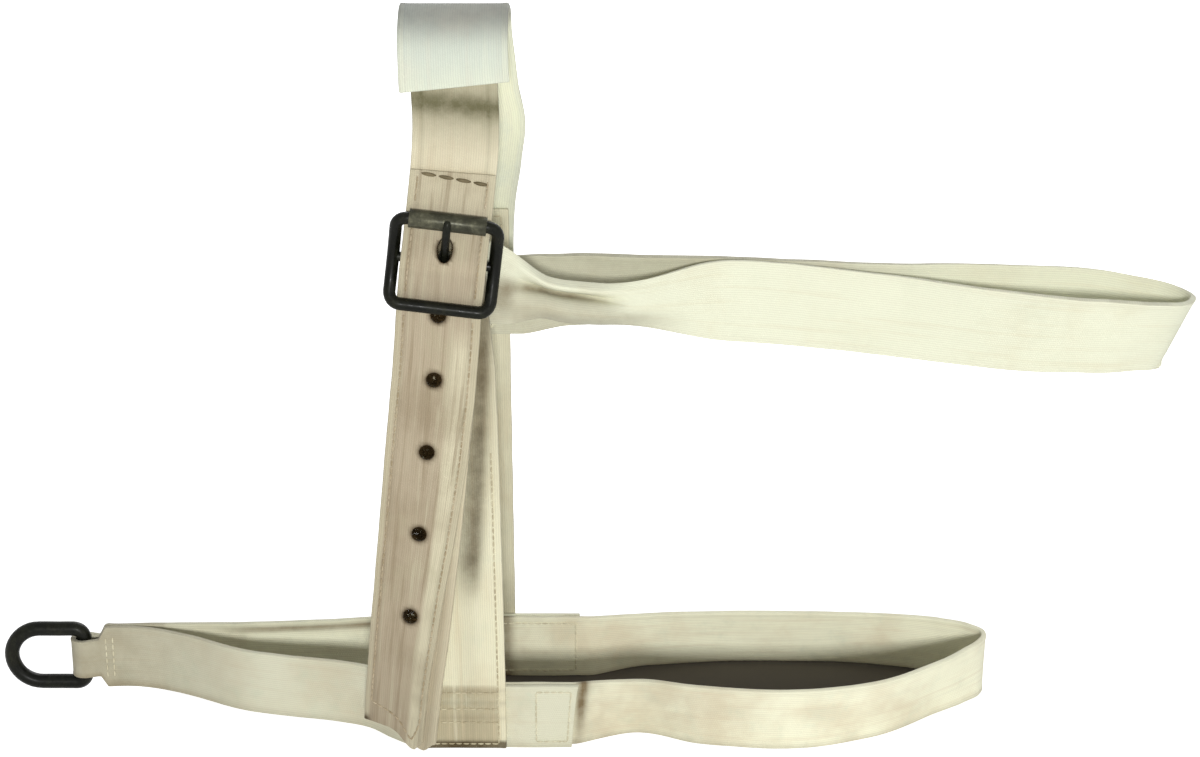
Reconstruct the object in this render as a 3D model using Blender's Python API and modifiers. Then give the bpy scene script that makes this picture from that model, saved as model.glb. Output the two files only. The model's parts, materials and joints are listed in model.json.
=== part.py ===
"""Webbing halter with a roller buckle, standing on its noseband.

The straps are woven cotton web, so each one is a ribbon: a grid laid along a smooth route,
then given its thickness by Solidify. The iron pieces are a dee on the chin strap and a bowed
centre-bar buckle with its roller and prong. X runs from the dee to the muzzle, Y from the
near side to the far side, and Z up. Routes are written in millimetres, sizes in metres.
"""
import math
from typing import Callable, NamedTuple

import bmesh
import bpy
from mathutils import Matrix, Vector

MM = 0.001

# Web widths and thicknesses
NOSE_WIDTH = 32.0 * MM
CHEEK_WIDTH = 38.0 * MM
BROW_WIDTH = 38.0 * MM
BILLET_WIDTH = 38.0 * MM
CROWN_WIDTH = 48.0 * MM
WEB_THICK = 2.6 * MM
CHEEK_THICK = 2.2 * MM
BILLET_PLY = 1.8 * MM
PLY_GAP = 0.3 * MM

# Buckle
BUCKLE_INNER_WIDTH = 39.5 * MM
BUCKLE_PITCH = 20.0 * MM
BUCKLE_ROD = 2.8 * MM
BUCKLE_CORNER = 5.0 * MM
BUCKLE_BOW = 6.0 * MM
BUCKLE_ROLL = math.radians(7.0)
CENTRE_BAR = 2.2 * MM
ROLLER_RADIUS = 4.1 * MM
ROLLER_BORE = BUCKLE_ROD + 0.35 * MM
ROLLER_END_GAP = 0.45 * MM
PRONG_RADIUS = 1.8 * MM
PRONG_EYE_WALL = 2.0 * MM
PRONG_EYE_WIDTH = 4.6 * MM
PRONG_BORE = CENTRE_BAR + 0.3 * MM
PRONG_SEAT_GAP = 0.3 * MM
SLOT_GAP = 0.6 * MM
BILLET_GAP = 0.5 * MM
ROCK_GAP = 1.0 * MM

# The billet's holes, its face ply and the bend of its free end, from the buckle's bar
HOLE_RADIUS = 3.5 * MM
HOLE_STRETCH = 1.65
HOLE_IN_USE_RISE = 6.6 * MM
HOLE_DROPS = (24.6 * MM, 54.7 * MM, 89.2 * MM, 129.0 * MM, 170.0 * MM)
HINGE_DROP = 34.0 * MM
HINGE_GAP = 0.5 * MM
FACE_PLY_RISE = 40.0 * MM

# Ends and edges of the webs
TIP_POINT = 12.7 * MM
TIP_SHOULDER = -6.0 * MM
TIP_LEFT_FALL = 7.0 * MM
TIP_RIGHT_FALL = 5.0 * MM
TIP_FADE = 60.0 * MM
CROWN_SLANT = 0.10
CROWN_FADE = 20.0 * MM
CHIN_TAPER = 4.0 * MM
TAIL_LENGTH = 24.0 * MM
TAIL_ASIDE = 8.0 * MM
TAIL_DROOP = 1.2 * MM

# Lead dee
DEE_ROD = 3.6 * MM
DEE_HEIGHT = 28.5 * MM
DEE_DEPTH = 35.7 * MM
DEE_CORNER = 4.5 * MM
DEE_LIFT = 2.6 * MM
DEE_FOLD_GAP = 0.9 * MM

# The browband's pinch beside the cheek: its width there, its folds and its swell
PINCHED_SHARE = 0.46
PINCH_BULGE = 0.10
PINCH_RUN = (-47.0 * MM, -22.0 * MM, 2.0 * MM, 62.0 * MM)
FOLD_END = (-12.0 * MM, 22.0 * MM)

# Where the straps lie: how far the two loops reach, and their near and far sides
MUZZLE_REACH = 187.0 * MM
BROW_REACH = 265.5 * MM
NOSE_NEAR_Y = -36.6 * MM
NOSE_FAR_Y = 35.4 * MM
TEMPLE_FAR_Y = 17.5 * MM
BUCKLE_X = -69.0 * MM
BUCKLE_Y = -40.0 * MM
BUCKLE_Z = 241.0 * MM
DEE_X = -252.7 * MM
DEE_Y = 20.0 * MM
FLOOR_GAP = 0.6 * MM

BILLET_THICK = 2.0 * BILLET_PLY + PLY_GAP
FRAME_HALF_WIDTH = BUCKLE_INNER_WIDTH / 2.0 + BUCKLE_ROD
CHAPE_RADIUS = CENTRE_BAR + PLY_GAP + CHEEK_THICK / 2.0
CHAPE_OUTER = CENTRE_BAR + PLY_GAP + CHEEK_THICK
BILLET_OVER_BAR = CHAPE_OUTER + BILLET_GAP + BILLET_THICK / 2.0
SAMPLE_LENGTH = 7.0 * MM
BEND_PIN = 2.5 * MM
ROUND_SIDES = 24

LINEN = (0.72, 0.71, 0.58, 1.0)
TAN = (0.44, 0.37, 0.26, 1.0)
CROWN_WHITE = (0.66, 0.71, 0.63, 1.0)
IRON = (0.020, 0.022, 0.018, 1.0)


class Station(NamedTuple):
    """A point on a strap's centre line and the twist of its width about that line."""

    point: Vector
    twist: float = 0.0


class Cut(NamedTuple):
    """A strap's end cut: how far each place across it falls short, and over what length."""

    short: Callable[[float], float]
    length: float


def stations_mm(rows):
    """Stations from rows of x, y, z in millimetres and, where given, a twist in degrees."""
    made = []
    for row in rows:
        twist = math.radians(row[3]) if len(row) > 3 else 0.0
        made.append(Station(Vector(row[:3]) * MM, twist))
    return made


def smooth(route, spacing=SAMPLE_LENGTH):
    """Centripetal Catmull-Rom curve through the stations, sampled about every spacing."""
    points = [station.point for station in route]
    first = points[0] * 2.0 - points[1]
    last = points[-1] * 2.0 - points[-2]
    padded = [first, *points, last]
    made = []
    for index in range(len(points) - 1):
        p0, p1, p2, p3 = padded[index:index + 4]
        t1 = math.sqrt((p1 - p0).length)
        t2 = t1 + math.sqrt((p2 - p1).length)
        t3 = t2 + math.sqrt((p3 - p2).length)
        steps = max(1, round((p2 - p1).length / spacing))
        for step in range(steps):
            share = step / steps
            t = t1 + (t2 - t1) * share
            a1 = p0 * ((t1 - t) / t1) + p1 * (t / t1)
            a2 = p1 * ((t2 - t) / (t2 - t1)) + p2 * ((t - t1) / (t2 - t1))
            a3 = p2 * ((t3 - t) / (t3 - t2)) + p3 * ((t - t2) / (t3 - t2))
            b1 = a1 * ((t2 - t) / t2) + a2 * (t / t2)
            b2 = a2 * ((t3 - t) / (t3 - t1)) + a3 * ((t - t1) / (t3 - t1))
            point = b1 * ((t2 - t) / (t2 - t1)) + b2 * ((t - t1) / (t2 - t1))
            ease = share * share * (3.0 - 2.0 * share)
            twist = route[index].twist * (1.0 - ease) + route[index + 1].twist * ease
            made.append(Station(point, twist))
    made.append(route[-1])
    return made


def lap_mm(end_x, bend_x, y, z):
    """Rows of a straight lapped end, with stations close before its bend to keep it flat."""
    pin = math.copysign(BEND_PIN / MM, bend_x - end_x)
    return [(end_x, y, z), (bend_x - 2.0 * pin, y, z), (bend_x - pin, y, z), (bend_x, y, z)]


def frames(route, across):
    """Tangent, width direction and outward normal at each station of a sampled route.

    The width keeps its direction where the strap slopes, so the tangent is squared to it.
    """
    steps = [(after.point - here.point).normalized() for here, after in zip(route, route[1:])]
    made = []
    for index, station in enumerate(route):
        before = steps[max(index - 1, 0)]
        after = steps[min(index, len(steps) - 1)]
        tangent = (before + after).normalized()
        width = across(station.point) if callable(across) else across
        tangent = (tangent - width * width.dot(tangent)).normalized()
        width = Matrix.Rotation(station.twist, 3, tangent) @ width
        made.append((tangent, width, tangent.cross(width)))
    return made


def offset(route, across, distance):
    """The sampled route moved outward by a distance, for a ply that lies on another."""
    frame_list = frames(route, across)
    moved = []
    for index, (station, (_, width, normal)) in enumerate(zip(route, frame_list)):
        start = min(index, len(route) - 2)
        step = route[start + 1].point - route[start].point
        step = (step - width * width.dot(step)).normalized()
        along = width.cross(normal)
        moved.append(Station(station.point + normal * (distance / abs(step.dot(along))),
                             station.twist))
    return moved


def lengths(route):
    """Length along the sampled route at each station."""
    run = [0.0]
    for before, after in zip(route, route[1:]):
        run.append(run[-1] + (after.point - before.point).length)
    return run


def ribbon(name, route, across, width, thick, material, columns=2,
           crease=None, end_cut=None):
    """A strap: a grid laid along the sampled route and made solid about its middle."""
    frame_list = frames(route, across)
    run = lengths(route)
    bm = bmesh.new()
    bmesh.ops.create_grid(bm, x_segments=len(route) - 1, y_segments=columns, size=1.0)
    for vertex in bm.verts:
        row = round((vertex.co.x + 1.0) / 2.0 * (len(route) - 1))
        share = vertex.co.y / 2.0
        tangent, across_here, normal = frame_list[row]
        point = route[row].point
        place = share * (width(point) if callable(width) else width)
        proud = 0.0
        if crease:
            place, proud = crease(point, place)
        vertex.co = point + across_here * place + normal * proud
        if end_cut:
            fade = max(0.0, 1.0 - (run[-1] - run[row]) / end_cut.length)
            vertex.co -= tangent * end_cut.short(place) * fade
    bmesh.ops.recalc_face_normals(bm, faces=bm.faces)
    strap = new_object(name, bm, material)
    solidify = strap.modifiers.new("web thickness", "SOLIDIFY")
    solidify.thickness = thick
    solidify.offset = 0.0
    solidify.use_even_offset = True
    return strap


def new_object(name, bm, material, collection=None):
    """A mesh object from a bmesh, linked to the halter's collection unless told otherwise."""
    mesh = bpy.data.meshes.new(name)
    bm.to_mesh(mesh)
    bm.free()
    made = bpy.data.objects.new(name, mesh)
    if material:
        mesh.materials.append(material)
    (collection or bpy.data.collections["halter"]).objects.link(made)
    return made


def make_material(name, colour, roughness, metallic):
    """A Principled BSDF material."""
    material = bpy.data.materials.new(name)
    material.use_nodes = True
    shader = material.node_tree.nodes["Principled BSDF"]
    shader.inputs["Base Color"].default_value = colour
    shader.inputs["Roughness"].default_value = roughness
    shader.inputs["Metallic"].default_value = metallic
    return material


def make_axis(name, parent, location, roll=0.0):
    """An empty on a joint's axis."""
    axis = bpy.data.objects.new(name, None)
    axis.empty_display_size = 10.0 * MM
    axis.parent = parent
    axis.location = location
    axis.rotation_euler = (0.0, roll, 0.0)
    bpy.data.collections["halter"].objects.link(axis)
    bpy.context.view_layer.update()
    return axis


def carry(made, axis):
    """Hang an object, modelled in the halter's own frame, on the empty of its joint."""
    made.data.transform(axis.matrix_world.inverted())
    made.parent = axis


def tool(made):
    """Mark an object as a cutter or a piece to be joined to another."""
    made.hide_render = True
    made.display_type = "WIRE"
    return made


def join(made, other, operation):
    """Cut or join an object with another."""
    boolean = made.modifiers.new(other.name, "BOOLEAN")
    boolean.operation = operation
    boolean.solver = "EXACT"
    boolean.object = other


def rod_mesh(name, points, radius, closed, material, collection=None):
    """A bent rod: a curve with a round section, turned into a mesh with welded caps."""
    curve = bpy.data.curves.new(name, "CURVE")
    curve.dimensions = "3D"
    curve.bevel_depth = radius
    curve.bevel_resolution = 4
    curve.use_fill_caps = not closed
    spline = curve.splines.new("POLY")
    spline.points.add(len(points) - 1)
    for target, point in zip(spline.points, points):
        target.co = (*point, 1.0)
    spline.use_cyclic_u = closed
    holder = bpy.data.objects.new(name, curve)
    bpy.context.scene.collection.objects.link(holder)
    graph = bpy.context.evaluated_depsgraph_get()
    mesh = bpy.data.meshes.new_from_object(holder.evaluated_get(graph))
    bm = bmesh.new()
    bm.from_mesh(mesh)
    bmesh.ops.remove_doubles(bm, verts=bm.verts, dist=0.01 * MM)
    bmesh.ops.recalc_face_normals(bm, faces=bm.faces)
    bpy.data.meshes.remove(mesh)
    bpy.data.objects.remove(holder)
    made = new_object(name, bm, material, collection)
    made.data.shade_smooth()
    return made


def bar_object(name, radius, length, along, material=None, collection=None):
    """A round bar centred on its origin, along a rotation of the Z axis."""
    bm = bmesh.new()
    bmesh.ops.create_cone(bm, cap_ends=True, segments=ROUND_SIDES, radius1=radius,
                          radius2=radius, depth=length, matrix=along)
    return new_object(name, bm, material, collection)


def arc(centre, radius, start, end, steps):
    """Points in a plane on an arc between two angles, both ends included."""
    made = []
    for step in range(steps + 1):
        angle = start + (end - start) * step / steps
        made.append((centre[0] + radius * math.cos(angle), centre[1] + radius * math.sin(angle)))
    return made


def weave(side, over_bar, behind_end):
    """Points of a web between the end bar above (+1) or below (-1) and the middle bar.

    They start behind the end bar, at a radius round it, and end over the front of the middle
    bar, at a radius round that, with the line between the two circles that touches both.
    Each point is how far it stands proud and its height in the buckle's frame.
    """
    end = (BUCKLE_BOW, BUCKLE_PITCH)
    lean = math.asin((over_bar + behind_end) / math.hypot(*end)) - math.atan2(*end)
    behind = arc(end, behind_end, math.pi, math.pi + lean, 3)
    over = arc((0.0, 0.0), over_bar, lean, 0.0, 3)
    line = [(behind[-1][0] + (over[0][0] - behind[-1][0]) * share,
             behind[-1][1] + (over[0][1] - behind[-1][1]) * share) for share in (0.12, 0.5, 0.88)]
    points = behind + line + over
    return [(proud, side * height) for proud, height in points]


def buckle_point(aside, height, proud):
    """A place in the buckle's frame: along its bar, up its length, and out to the near side."""
    turn = Matrix.Rotation(BUCKLE_ROLL, 3, "Y")
    return Vector((BUCKLE_X, BUCKLE_Y, BUCKLE_Z)) + turn @ Vector((aside, -proud, height))


# Levels of the plies that lie on one another at the noseband and at the buckle
CHIN_NEAR_Y = NOSE_NEAR_Y - WEB_THICK - PLY_GAP
CHEEK_NEAR_Y = CHIN_NEAR_Y - (WEB_THICK + CHEEK_THICK) / 2.0 - PLY_GAP
CHIN_FAR_Y = NOSE_FAR_Y + WEB_THICK + PLY_GAP
CHEEK_FAR_Y = CHIN_FAR_Y + (WEB_THICK + CHEEK_THICK) / 2.0 + PLY_GAP
CHEEK_PITCH = CHEEK_THICK + PLY_GAP
BROW_NEAR_Y = (BUCKLE_Y + CHAPE_RADIUS + CHEEK_PITCH + (CHEEK_THICK + WEB_THICK) / 2.0
               + 2.0 * PLY_GAP)
BROW_FAR_Y = TEMPLE_FAR_Y - (CHEEK_THICK + WEB_THICK) / 2.0 - PLY_GAP
CROWN_FAR_Y = TEMPLE_FAR_Y + (CHEEK_THICK + WEB_THICK) / 2.0 + PLY_GAP
ACROSS_BAND = Vector((0.0, 0.0, 1.0))
ACROSS_UPRIGHT = Vector((1.0, 0.0, 0.0))
ACROSS_BAR = Matrix.Rotation(BUCKLE_ROLL, 3, "Y") @ ACROSS_UPRIGHT


def standing_height(width, lean):
    """Height of a leaning strap's middle when its lower edge stands on the floor."""
    lean = math.radians(abs(lean))
    return (width * math.cos(lean) + WEB_THICK * math.sin(lean)) / 2.0


def nose_strap(material):
    """The noseband's muzzle loop, from the near lap round the nose to the far lap.

    Beside the laps both sides lean toward the near side, so their twists have opposite signs.
    """
    near, far, middle = NOSE_NEAR_Y / MM, NOSE_FAR_Y / MM, NOSE_WIDTH / MM / 2.0
    rows = lap_mm(-82, -12, near, middle)
    tip = MUZZLE_REACH / MM
    for x, y, lean in ((19, -29, 13), (47, -38, 7), (90, -43, 6), (tip - 55.5, -32, 10),
                       (tip - 24.5, -9, 12), (tip - 9.5, 4, 7), (tip - 1.5, 13, 3),
                       (tip, 20, 0), (tip - 5.5, 28, -4), (tip - 18.5, 36, -9),
                       (tip - 38.5, 42, -13), (118, 46, -16), (62, 47, -16), (24, 43, -12)):
        rows.append((x, y, standing_height(NOSE_WIDTH, lean) / MM, lean))
    rows += reversed(lap_mm(-82, -5, far, middle))
    route = smooth(stations_mm(rows))
    return ribbon("nose_strap", route, ACROSS_BAND, NOSE_WIDTH, WEB_THICK, material)


def chin_width(point):
    """Width of the chin strap, drawn in where it goes round the dee's bar."""
    narrow = DEE_HEIGHT - 2.0 * DEE_ROD - 2.0 * DEE_FOLD_GAP
    start = DEE_X + DEE_ROD + CHAPE_RADIUS
    return narrow + (NOSE_WIDTH - narrow) * eased(point.x, start, start + CHIN_TAPER)


def chin_strap(material):
    """The chin part: far lap, along the jaw, round the dee's bar and back to the near lap."""
    low = NOSE_WIDTH / MM / 2.0
    high = low + DEE_LIFT / MM
    near, far = CHIN_NEAR_Y / MM, CHIN_FAR_Y / MM
    dee_x, dee_y = DEE_X / MM, DEE_Y / MM
    pitch = (WEB_THICK + PLY_GAP) / MM / 2.0
    fold = (DEE_ROD + PLY_GAP + WEB_THICK / 2.0) / MM
    sewn = dee_x + 14.0
    rows = lap_mm(-10, -86, far, low)
    rows += [(-104, far - 2.6, low), (-130, 31.6, low + 0.3), (-172, 26.6, low + 1.0),
             (-200, 24.2, low + 1.8), (-222, dee_y + pitch + 0.7, high),
             (sewn, dee_y + pitch, high)]
    turn = math.radians(72.0)
    for x, y in arc((dee_x, dee_y), fold, turn, 2.0 * math.pi - turn, 12):
        rows.append((x, y, high))
    rows += [(sewn, dee_y - pitch, high), (-222, dee_y - pitch - 0.9, high),
             (-200, 10.4, low + 1.8), (-172, -3.6, low + 1.0), (-150, -9.4, low + 0.6),
             (-126, -14.0, low + 0.2), (-110, -19.5, low), (-98, -30.5, low)]
    rows += reversed(lap_mm(-10, -86, near, low))
    route = smooth(stations_mm(rows), 5.0 * MM)
    return ribbon("chin_strap", route, ACROSS_BAND, chin_width, WEB_THICK, material)


def eased(value, start, end):
    """Smooth rise from 0 at the start to 1 at the end."""
    share = min(1.0, max(0.0, (value - start) / (end - start)))
    return share * share * (3.0 - 2.0 * share)


def brow_crease(point, place):
    """The browband pinched lengthwise beside the near cheek: a roll below, a fold, a lip above.

    The profile gives, from the lower edge to the upper one, where each eighth of the width
    lies in the pinch: how far across, and how far out of the strap's plane. Past the folds
    the web is a narrow swell that opens out to its flat width.
    """
    start, full, fade, end = PINCH_RUN
    pinch = eased(point.x, start, full) * (1.0 - eased(point.x, fade, end))
    if pinch <= 0.0 or point.y > 0.0:
        return place, 0.0
    profile = [(-0.225, -0.060), (-0.150, 0.036), (-0.060, 0.078), (0.020, 0.010),
               (0.035, -0.125), (0.105, -0.190), (0.150, -0.080), (0.185, -0.012),
               (0.235, -0.110)]
    fold = 1.0 - eased(point.x, *FOLD_END)
    share = place / BROW_WIDTH
    across, proud = profile[round((share + 0.5) * (len(profile) - 1))]
    across = across * fold + share * PINCHED_SHARE * (1.0 - fold)
    proud = proud * fold + PINCH_BULGE * math.cos(math.pi * share) * (1.0 - fold)
    return place + (across * BROW_WIDTH - place) * pinch, proud * BROW_WIDTH * pinch


def brow_strap(material):
    """The browband: sewn behind the near cheek, out round the brow and back to the far cheek."""
    near, far, tip = BROW_NEAR_Y / MM, BROW_FAR_Y / MM, BROW_REACH / MM
    rows = lap_mm(-86, -46, near, 228)
    rows += [(-34, near + 2.4, 223), (-18, near + 6.4, 216.5), (0, -19.5, 213.5),
             (20, -14, 213, 2), (64, -4.5, 210.5, -6), (128, -4, 204, -5), (180, -12, 199.5, 2),
             (tip - 40, -15, 197, 12), (tip - 14, -10, 195, 20), (tip - 3, -4, 193.5, 23),
             (tip, 2, 193.5, 23), (tip - 5, 8, 195, 20), (tip - 22, 13, 197.5, 16),
             (tip - 40, 15, 200, 12), (180, 9, 204, 8), (128, 4.2, 206.5, 2),
             (64, 5.4, 210, -8), (20, 8.5, 211.5, -18), (-14, far - 1.6, 210, -14)]
    rows += reversed(lap_mm(-86, -36, far, 207))
    route = smooth(stations_mm(rows))
    return ribbon("brow_strap", route, ACROSS_BAND, BROW_WIDTH, WEB_THICK, material,
                  columns=8, crease=brow_crease)


def crown_route():
    """Sampled route of the crown piece, up from the far temple and over the poll."""
    far = CROWN_FAR_Y / MM
    rows = [(-64, far, 214), (-64, far, 232), (-63, far, 250), (-60, 19.6, 270),
            (-58, 18.6, 288), (-61, 17.2, 308), (-63, 12.8, 328), (-63.5, 4.6, 342.5),
            (-64, -9, 348.7), (-64, -21.5, 345.5), (-64, -29.8, 335), (-63.6, -33.2, 323),
            (-63.2, -34.4, 316)]
    return smooth(stations_mm(rows), 5.0 * MM)


def crown_strap(material):
    """The wide crown piece, its near end cut on a slant."""
    slant = Cut(lambda place: (place + CROWN_WIDTH / 2.0) * CROWN_SLANT, CROWN_FADE)
    return ribbon("crown_strap", crown_route(), ACROSS_UPRIGHT, CROWN_WIDTH, WEB_THICK,
                  material, end_cut=slant)


def across_billet(point):
    """The billet's width direction: level under the crown, along the bar from there down."""
    share = eased(point.z, BUCKLE_Z + BUCKLE_PITCH + ROLLER_RADIUS, BUCKLE_Z + 65.0 * MM)
    return ACROSS_BAR.lerp(ACROSS_UPRIGHT, share).normalized()


def across_cheek(point):
    """The near cheek's width direction: along the bar at the buckle, level from below it."""
    share = eased(point.z, BUCKLE_Z - 80.0 * MM, BUCKLE_Z - BUCKLE_PITCH - 4.0 * MM)
    return ACROSS_UPRIGHT.lerp(ACROSS_BAR, share).normalized()


def billet_route():
    """Sampled middle line of the doubled billet, from under the crown to its tip.

    It goes behind the buckle's top bar, over the bar in the middle with the cheek's fold
    on it, behind the bottom bar, and hangs in front of the cheek.
    """
    behind_roller = ROLLER_RADIUS + ROCK_GAP + BILLET_THICK / 2.0
    behind_rod = BUCKLE_ROD + ROCK_GAP + BILLET_THICK / 2.0
    lap = crown_route()[-5:]
    under_crown = offset(lap, ACROSS_UPRIGHT, -(WEB_THICK + PLY_GAP) / 2.0)
    route = [Station(station.point) for station in under_crown[:-1]]
    bar, crown_end = BUCKLE_Z / MM, lap[-1].point.z / MM
    open_run = crown_end - bar - BUCKLE_PITCH / MM
    route += stations_mm([(-63, -33.9, crown_end - 0.29 * open_run),
                          (-64.3, -35.0, crown_end - 0.64 * open_run)])
    for proud, height in weave(1.0, BILLET_OVER_BAR, behind_roller):
        route.append(Station(buckle_point(0.0, height, proud)))
    for proud, height in reversed(weave(-1.0, BILLET_OVER_BAR, behind_rod)[:-1]):
        route.append(Station(buckle_point(0.0, height, proud)))
    hang = CHEEK_NEAR_Y - (CHEEK_THICK + BILLET_THICK) / 2.0 - 2.0 * PLY_GAP
    route += stations_mm([(-74.0, -41.3, bar - 51), (-77.8, -42.6, bar - 86, 3),
                          (-82, -43.9, bar - 126, 9), (-86.9, hang / MM + 0.9, 72.5, 16),
                          (-92, hang / MM - 0.6, 30, 25), (-94.5, hang / MM - 1.3, 5.8, 28)])
    return smooth(route, 6.0 * MM)


def split_at(route, height):
    """The parts of a downward sampled route above and below a height."""
    upper = [station for station in route if station.point.z > height]
    lower = [station for station in route if station.point.z <= height]
    above, below = upper[-1], lower[0]
    share = (above.point.z - height) / (above.point.z - below.point.z)
    point = above.point.lerp(below.point, share)
    return upper, lower, Station(point, above.twist)


def billet_tip(place):
    """The billet's end: square at its left, then rounded to a point right of the middle."""
    left = TIP_LEFT_FALL * (1.0 - eased(place, TIP_SHOULDER, TIP_POINT))
    right = TIP_RIGHT_FALL * eased(place, TIP_POINT, BILLET_WIDTH / 2.0)
    return left + right


def billet_pieces(base_web, face_web, hinge):
    """The billet's two plies, each in an upper length and the free end below the hinge line."""
    middle = billet_route()
    upper, lower, seam = split_at(middle, BUCKLE_Z - HINGE_DROP)
    top = upper + [Station(seam.point + Vector((0.0, 0.0, HINGE_GAP / 2.0)), seam.twist)]
    bottom = [Station(seam.point - Vector((0.0, 0.0, HINGE_GAP / 2.0)), seam.twist)] + lower
    face_top_z = BUCKLE_Z + FACE_PLY_RISE
    face_start = next(i for i, station in enumerate(top) if station.point.z < face_top_z)
    shift = (BILLET_PLY + PLY_GAP) / 2.0
    tip = Cut(billet_tip, TIP_FADE)
    base_top = offset(top, across_billet, -shift)
    face_top = offset(top, across_billet, shift)[face_start:]
    base_end = offset(bottom, across_billet, -shift)
    face_end = offset(bottom, across_billet, shift)
    size = (across_billet, BILLET_WIDTH, BILLET_PLY)
    rigid = [ribbon("billet_base_upper", base_top, *size, base_web),
             ribbon("billet_face_upper", face_top, *size, face_web)]
    free = [ribbon("billet_base_end", base_end, *size, base_web, columns=6, end_cut=tip),
            ribbon("billet_face_end", face_end, *size, face_web, columns=6, end_cut=tip)]
    for made in free:
        carry(made, hinge)
    return rigid, free, middle


def hinge_place():
    """Where the billet's free end bends: on its near face, just below the buckle."""
    seam = split_at(billet_route(), BUCKLE_Z - HINGE_DROP)[2]
    return seam.point - Vector((0.0, BILLET_THICK / 2.0, 0.0))


def punch_billet(rigid, free, middle):
    """Cut the row of holes through both plies, and the stretched one that the prong fills."""
    cutters = bpy.data.collections["cutters"]
    frame_list = frames(middle, across_billet)
    in_use = buckle_point(0.0, HOLE_IN_USE_RISE, 0.0).z
    for number, height in enumerate((in_use, *(BUCKLE_Z - drop for drop in HOLE_DROPS))):
        nearest = min(range(len(middle)), key=lambda i: abs(middle[i].point.z - height))
        tangent, across, normal = frame_list[nearest]
        slide = (height - middle[nearest].point.z) / tangent.z
        place = middle[nearest].point + tangent * slide
        turn = Matrix((across, tangent, normal)).transposed().to_4x4()
        punch = tool(bar_object(f"hole_punch_{number}", HOLE_RADIUS, 5.0 * BILLET_THICK,
                                Matrix.Identity(4), collection=cutters))
        stretch = HOLE_STRETCH if number == 0 else 1.0
        punch.data.transform(Matrix.Diagonal((1.0, stretch, 1.0, 1.0)))
        punch.matrix_world = Matrix.Translation(place) @ turn
        for made in (free if height < BUCKLE_Z - HINGE_DROP else rigid):
            join(made, punch, "DIFFERENCE")


def cheek_near_strap(material, buckle):
    """The near cheek: up from the noseband, round the buckle's bar, its tail sewn behind."""
    under_billet = (CHEEK_THICK + BILLET_THICK) / 2.0 + BILLET_GAP
    behind_rod = BUCKLE_ROD + ROCK_GAP + BILLET_THICK / 2.0 + under_billet
    front = list(reversed(weave(-1.0, CHAPE_RADIUS, behind_rod)))
    seat = BUCKLE_BOW - behind_rod
    tail_end = BUCKLE_PITCH + TAIL_LENGTH
    aside_at_rod = TAIL_ASIDE * 0.3
    tail = [(TAIL_ASIDE, -tail_end, seat - CHEEK_PITCH + TAIL_DROOP),
            (aside_at_rod, -BUCKLE_PITCH, seat - CHEEK_PITCH),
            (0.0, -BUCKLE_PITCH * 0.15, -CHAPE_RADIUS)]
    route = [Station(buckle_point(*place)) for place in tail]
    for proud, height in arc((0.0, 0.0), CHAPE_RADIUS, math.pi, 0.0, 10)[:-1] + front:
        aside = aside_at_rod * min(1.0, max(0.0, -height / BUCKLE_PITCH)) ** 3
        route.append(Station(buckle_point(aside, height, proud)))
    route.append(Station(buckle_point(TAIL_ASIDE, -tail_end, seat + TAIL_DROOP)))
    bottom = CHEEK_NEAR_Y / MM
    stack_top = NOSE_WIDTH / MM + 2.0
    route += stations_mm([(-65.0, -38.9, 150), (-64.2, -40.4, 100), (-63.4, bottom + 0.4, 56),
                          (-63.2, bottom, stack_top + 4.0), (-63.2, bottom, stack_top),
                          (-63, bottom, FLOOR_GAP / MM)])
    strap = ribbon("near_cheek_strap", smooth(route), across_cheek, CHEEK_WIDTH, CHEEK_THICK,
                   material)
    slot = bmesh.new()
    bmesh.ops.create_cube(slot, size=1.0)
    cutter = tool(new_object("prong_slot", slot, None, bpy.data.collections["cutters"]))
    reach = 3.0 * CHAPE_OUTER
    cutter.data.transform(Matrix.Diagonal(
        (PRONG_EYE_WIDTH + 2.0 * SLOT_GAP, reach, reach, 1.0)))
    cutter.parent = buckle
    join(strap, cutter, "DIFFERENCE")
    return strap


def cheek_far_strap(material):
    """The far cheek, up from the noseband to its lap under the crown piece."""
    low, high = CHEEK_FAR_Y / MM, TEMPLE_FAR_Y / MM
    rows = [(-61, low, FLOOR_GAP / MM), (-61, low, NOSE_WIDTH / MM + 2.0), (-61, low - 4.5, 66),
            (-61, 26.5, 124), (-61, high + 1.6, 170), (-61, high, 186), (-61, high, 218),
            (-61, high, 248)]
    route = smooth(stations_mm(rows))
    return ribbon("far_cheek_strap", route, ACROSS_UPRIGHT, CHEEK_WIDTH, CHEEK_THICK, material)


def rounded_corner_points(half_width, half_height, corner, steps=4):
    """A rectangle's outline in the plane with a round at each corner."""
    made = []
    for quarter, (side_x, side_y) in enumerate(((1, 1), (-1, 1), (-1, -1), (1, -1))):
        centre = (side_x * (half_width - corner), side_y * (half_height - corner))
        start = quarter * math.pi / 2.0
        made += arc(centre, corner, start, start + math.pi / 2.0, steps)
    return made


def subdivided(points, longest):
    """A closed outline with extra points so that no side is longer than the given length."""
    made = []
    for here, after in zip(points, points[1:] + points[:1]):
        pieces = max(1, math.ceil(math.dist(here, after) / longest))
        for piece in range(pieces):
            share = piece / pieces
            made.append((here[0] + (after[0] - here[0]) * share,
                         here[1] + (after[1] - here[1]) * share))
    return made


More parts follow.
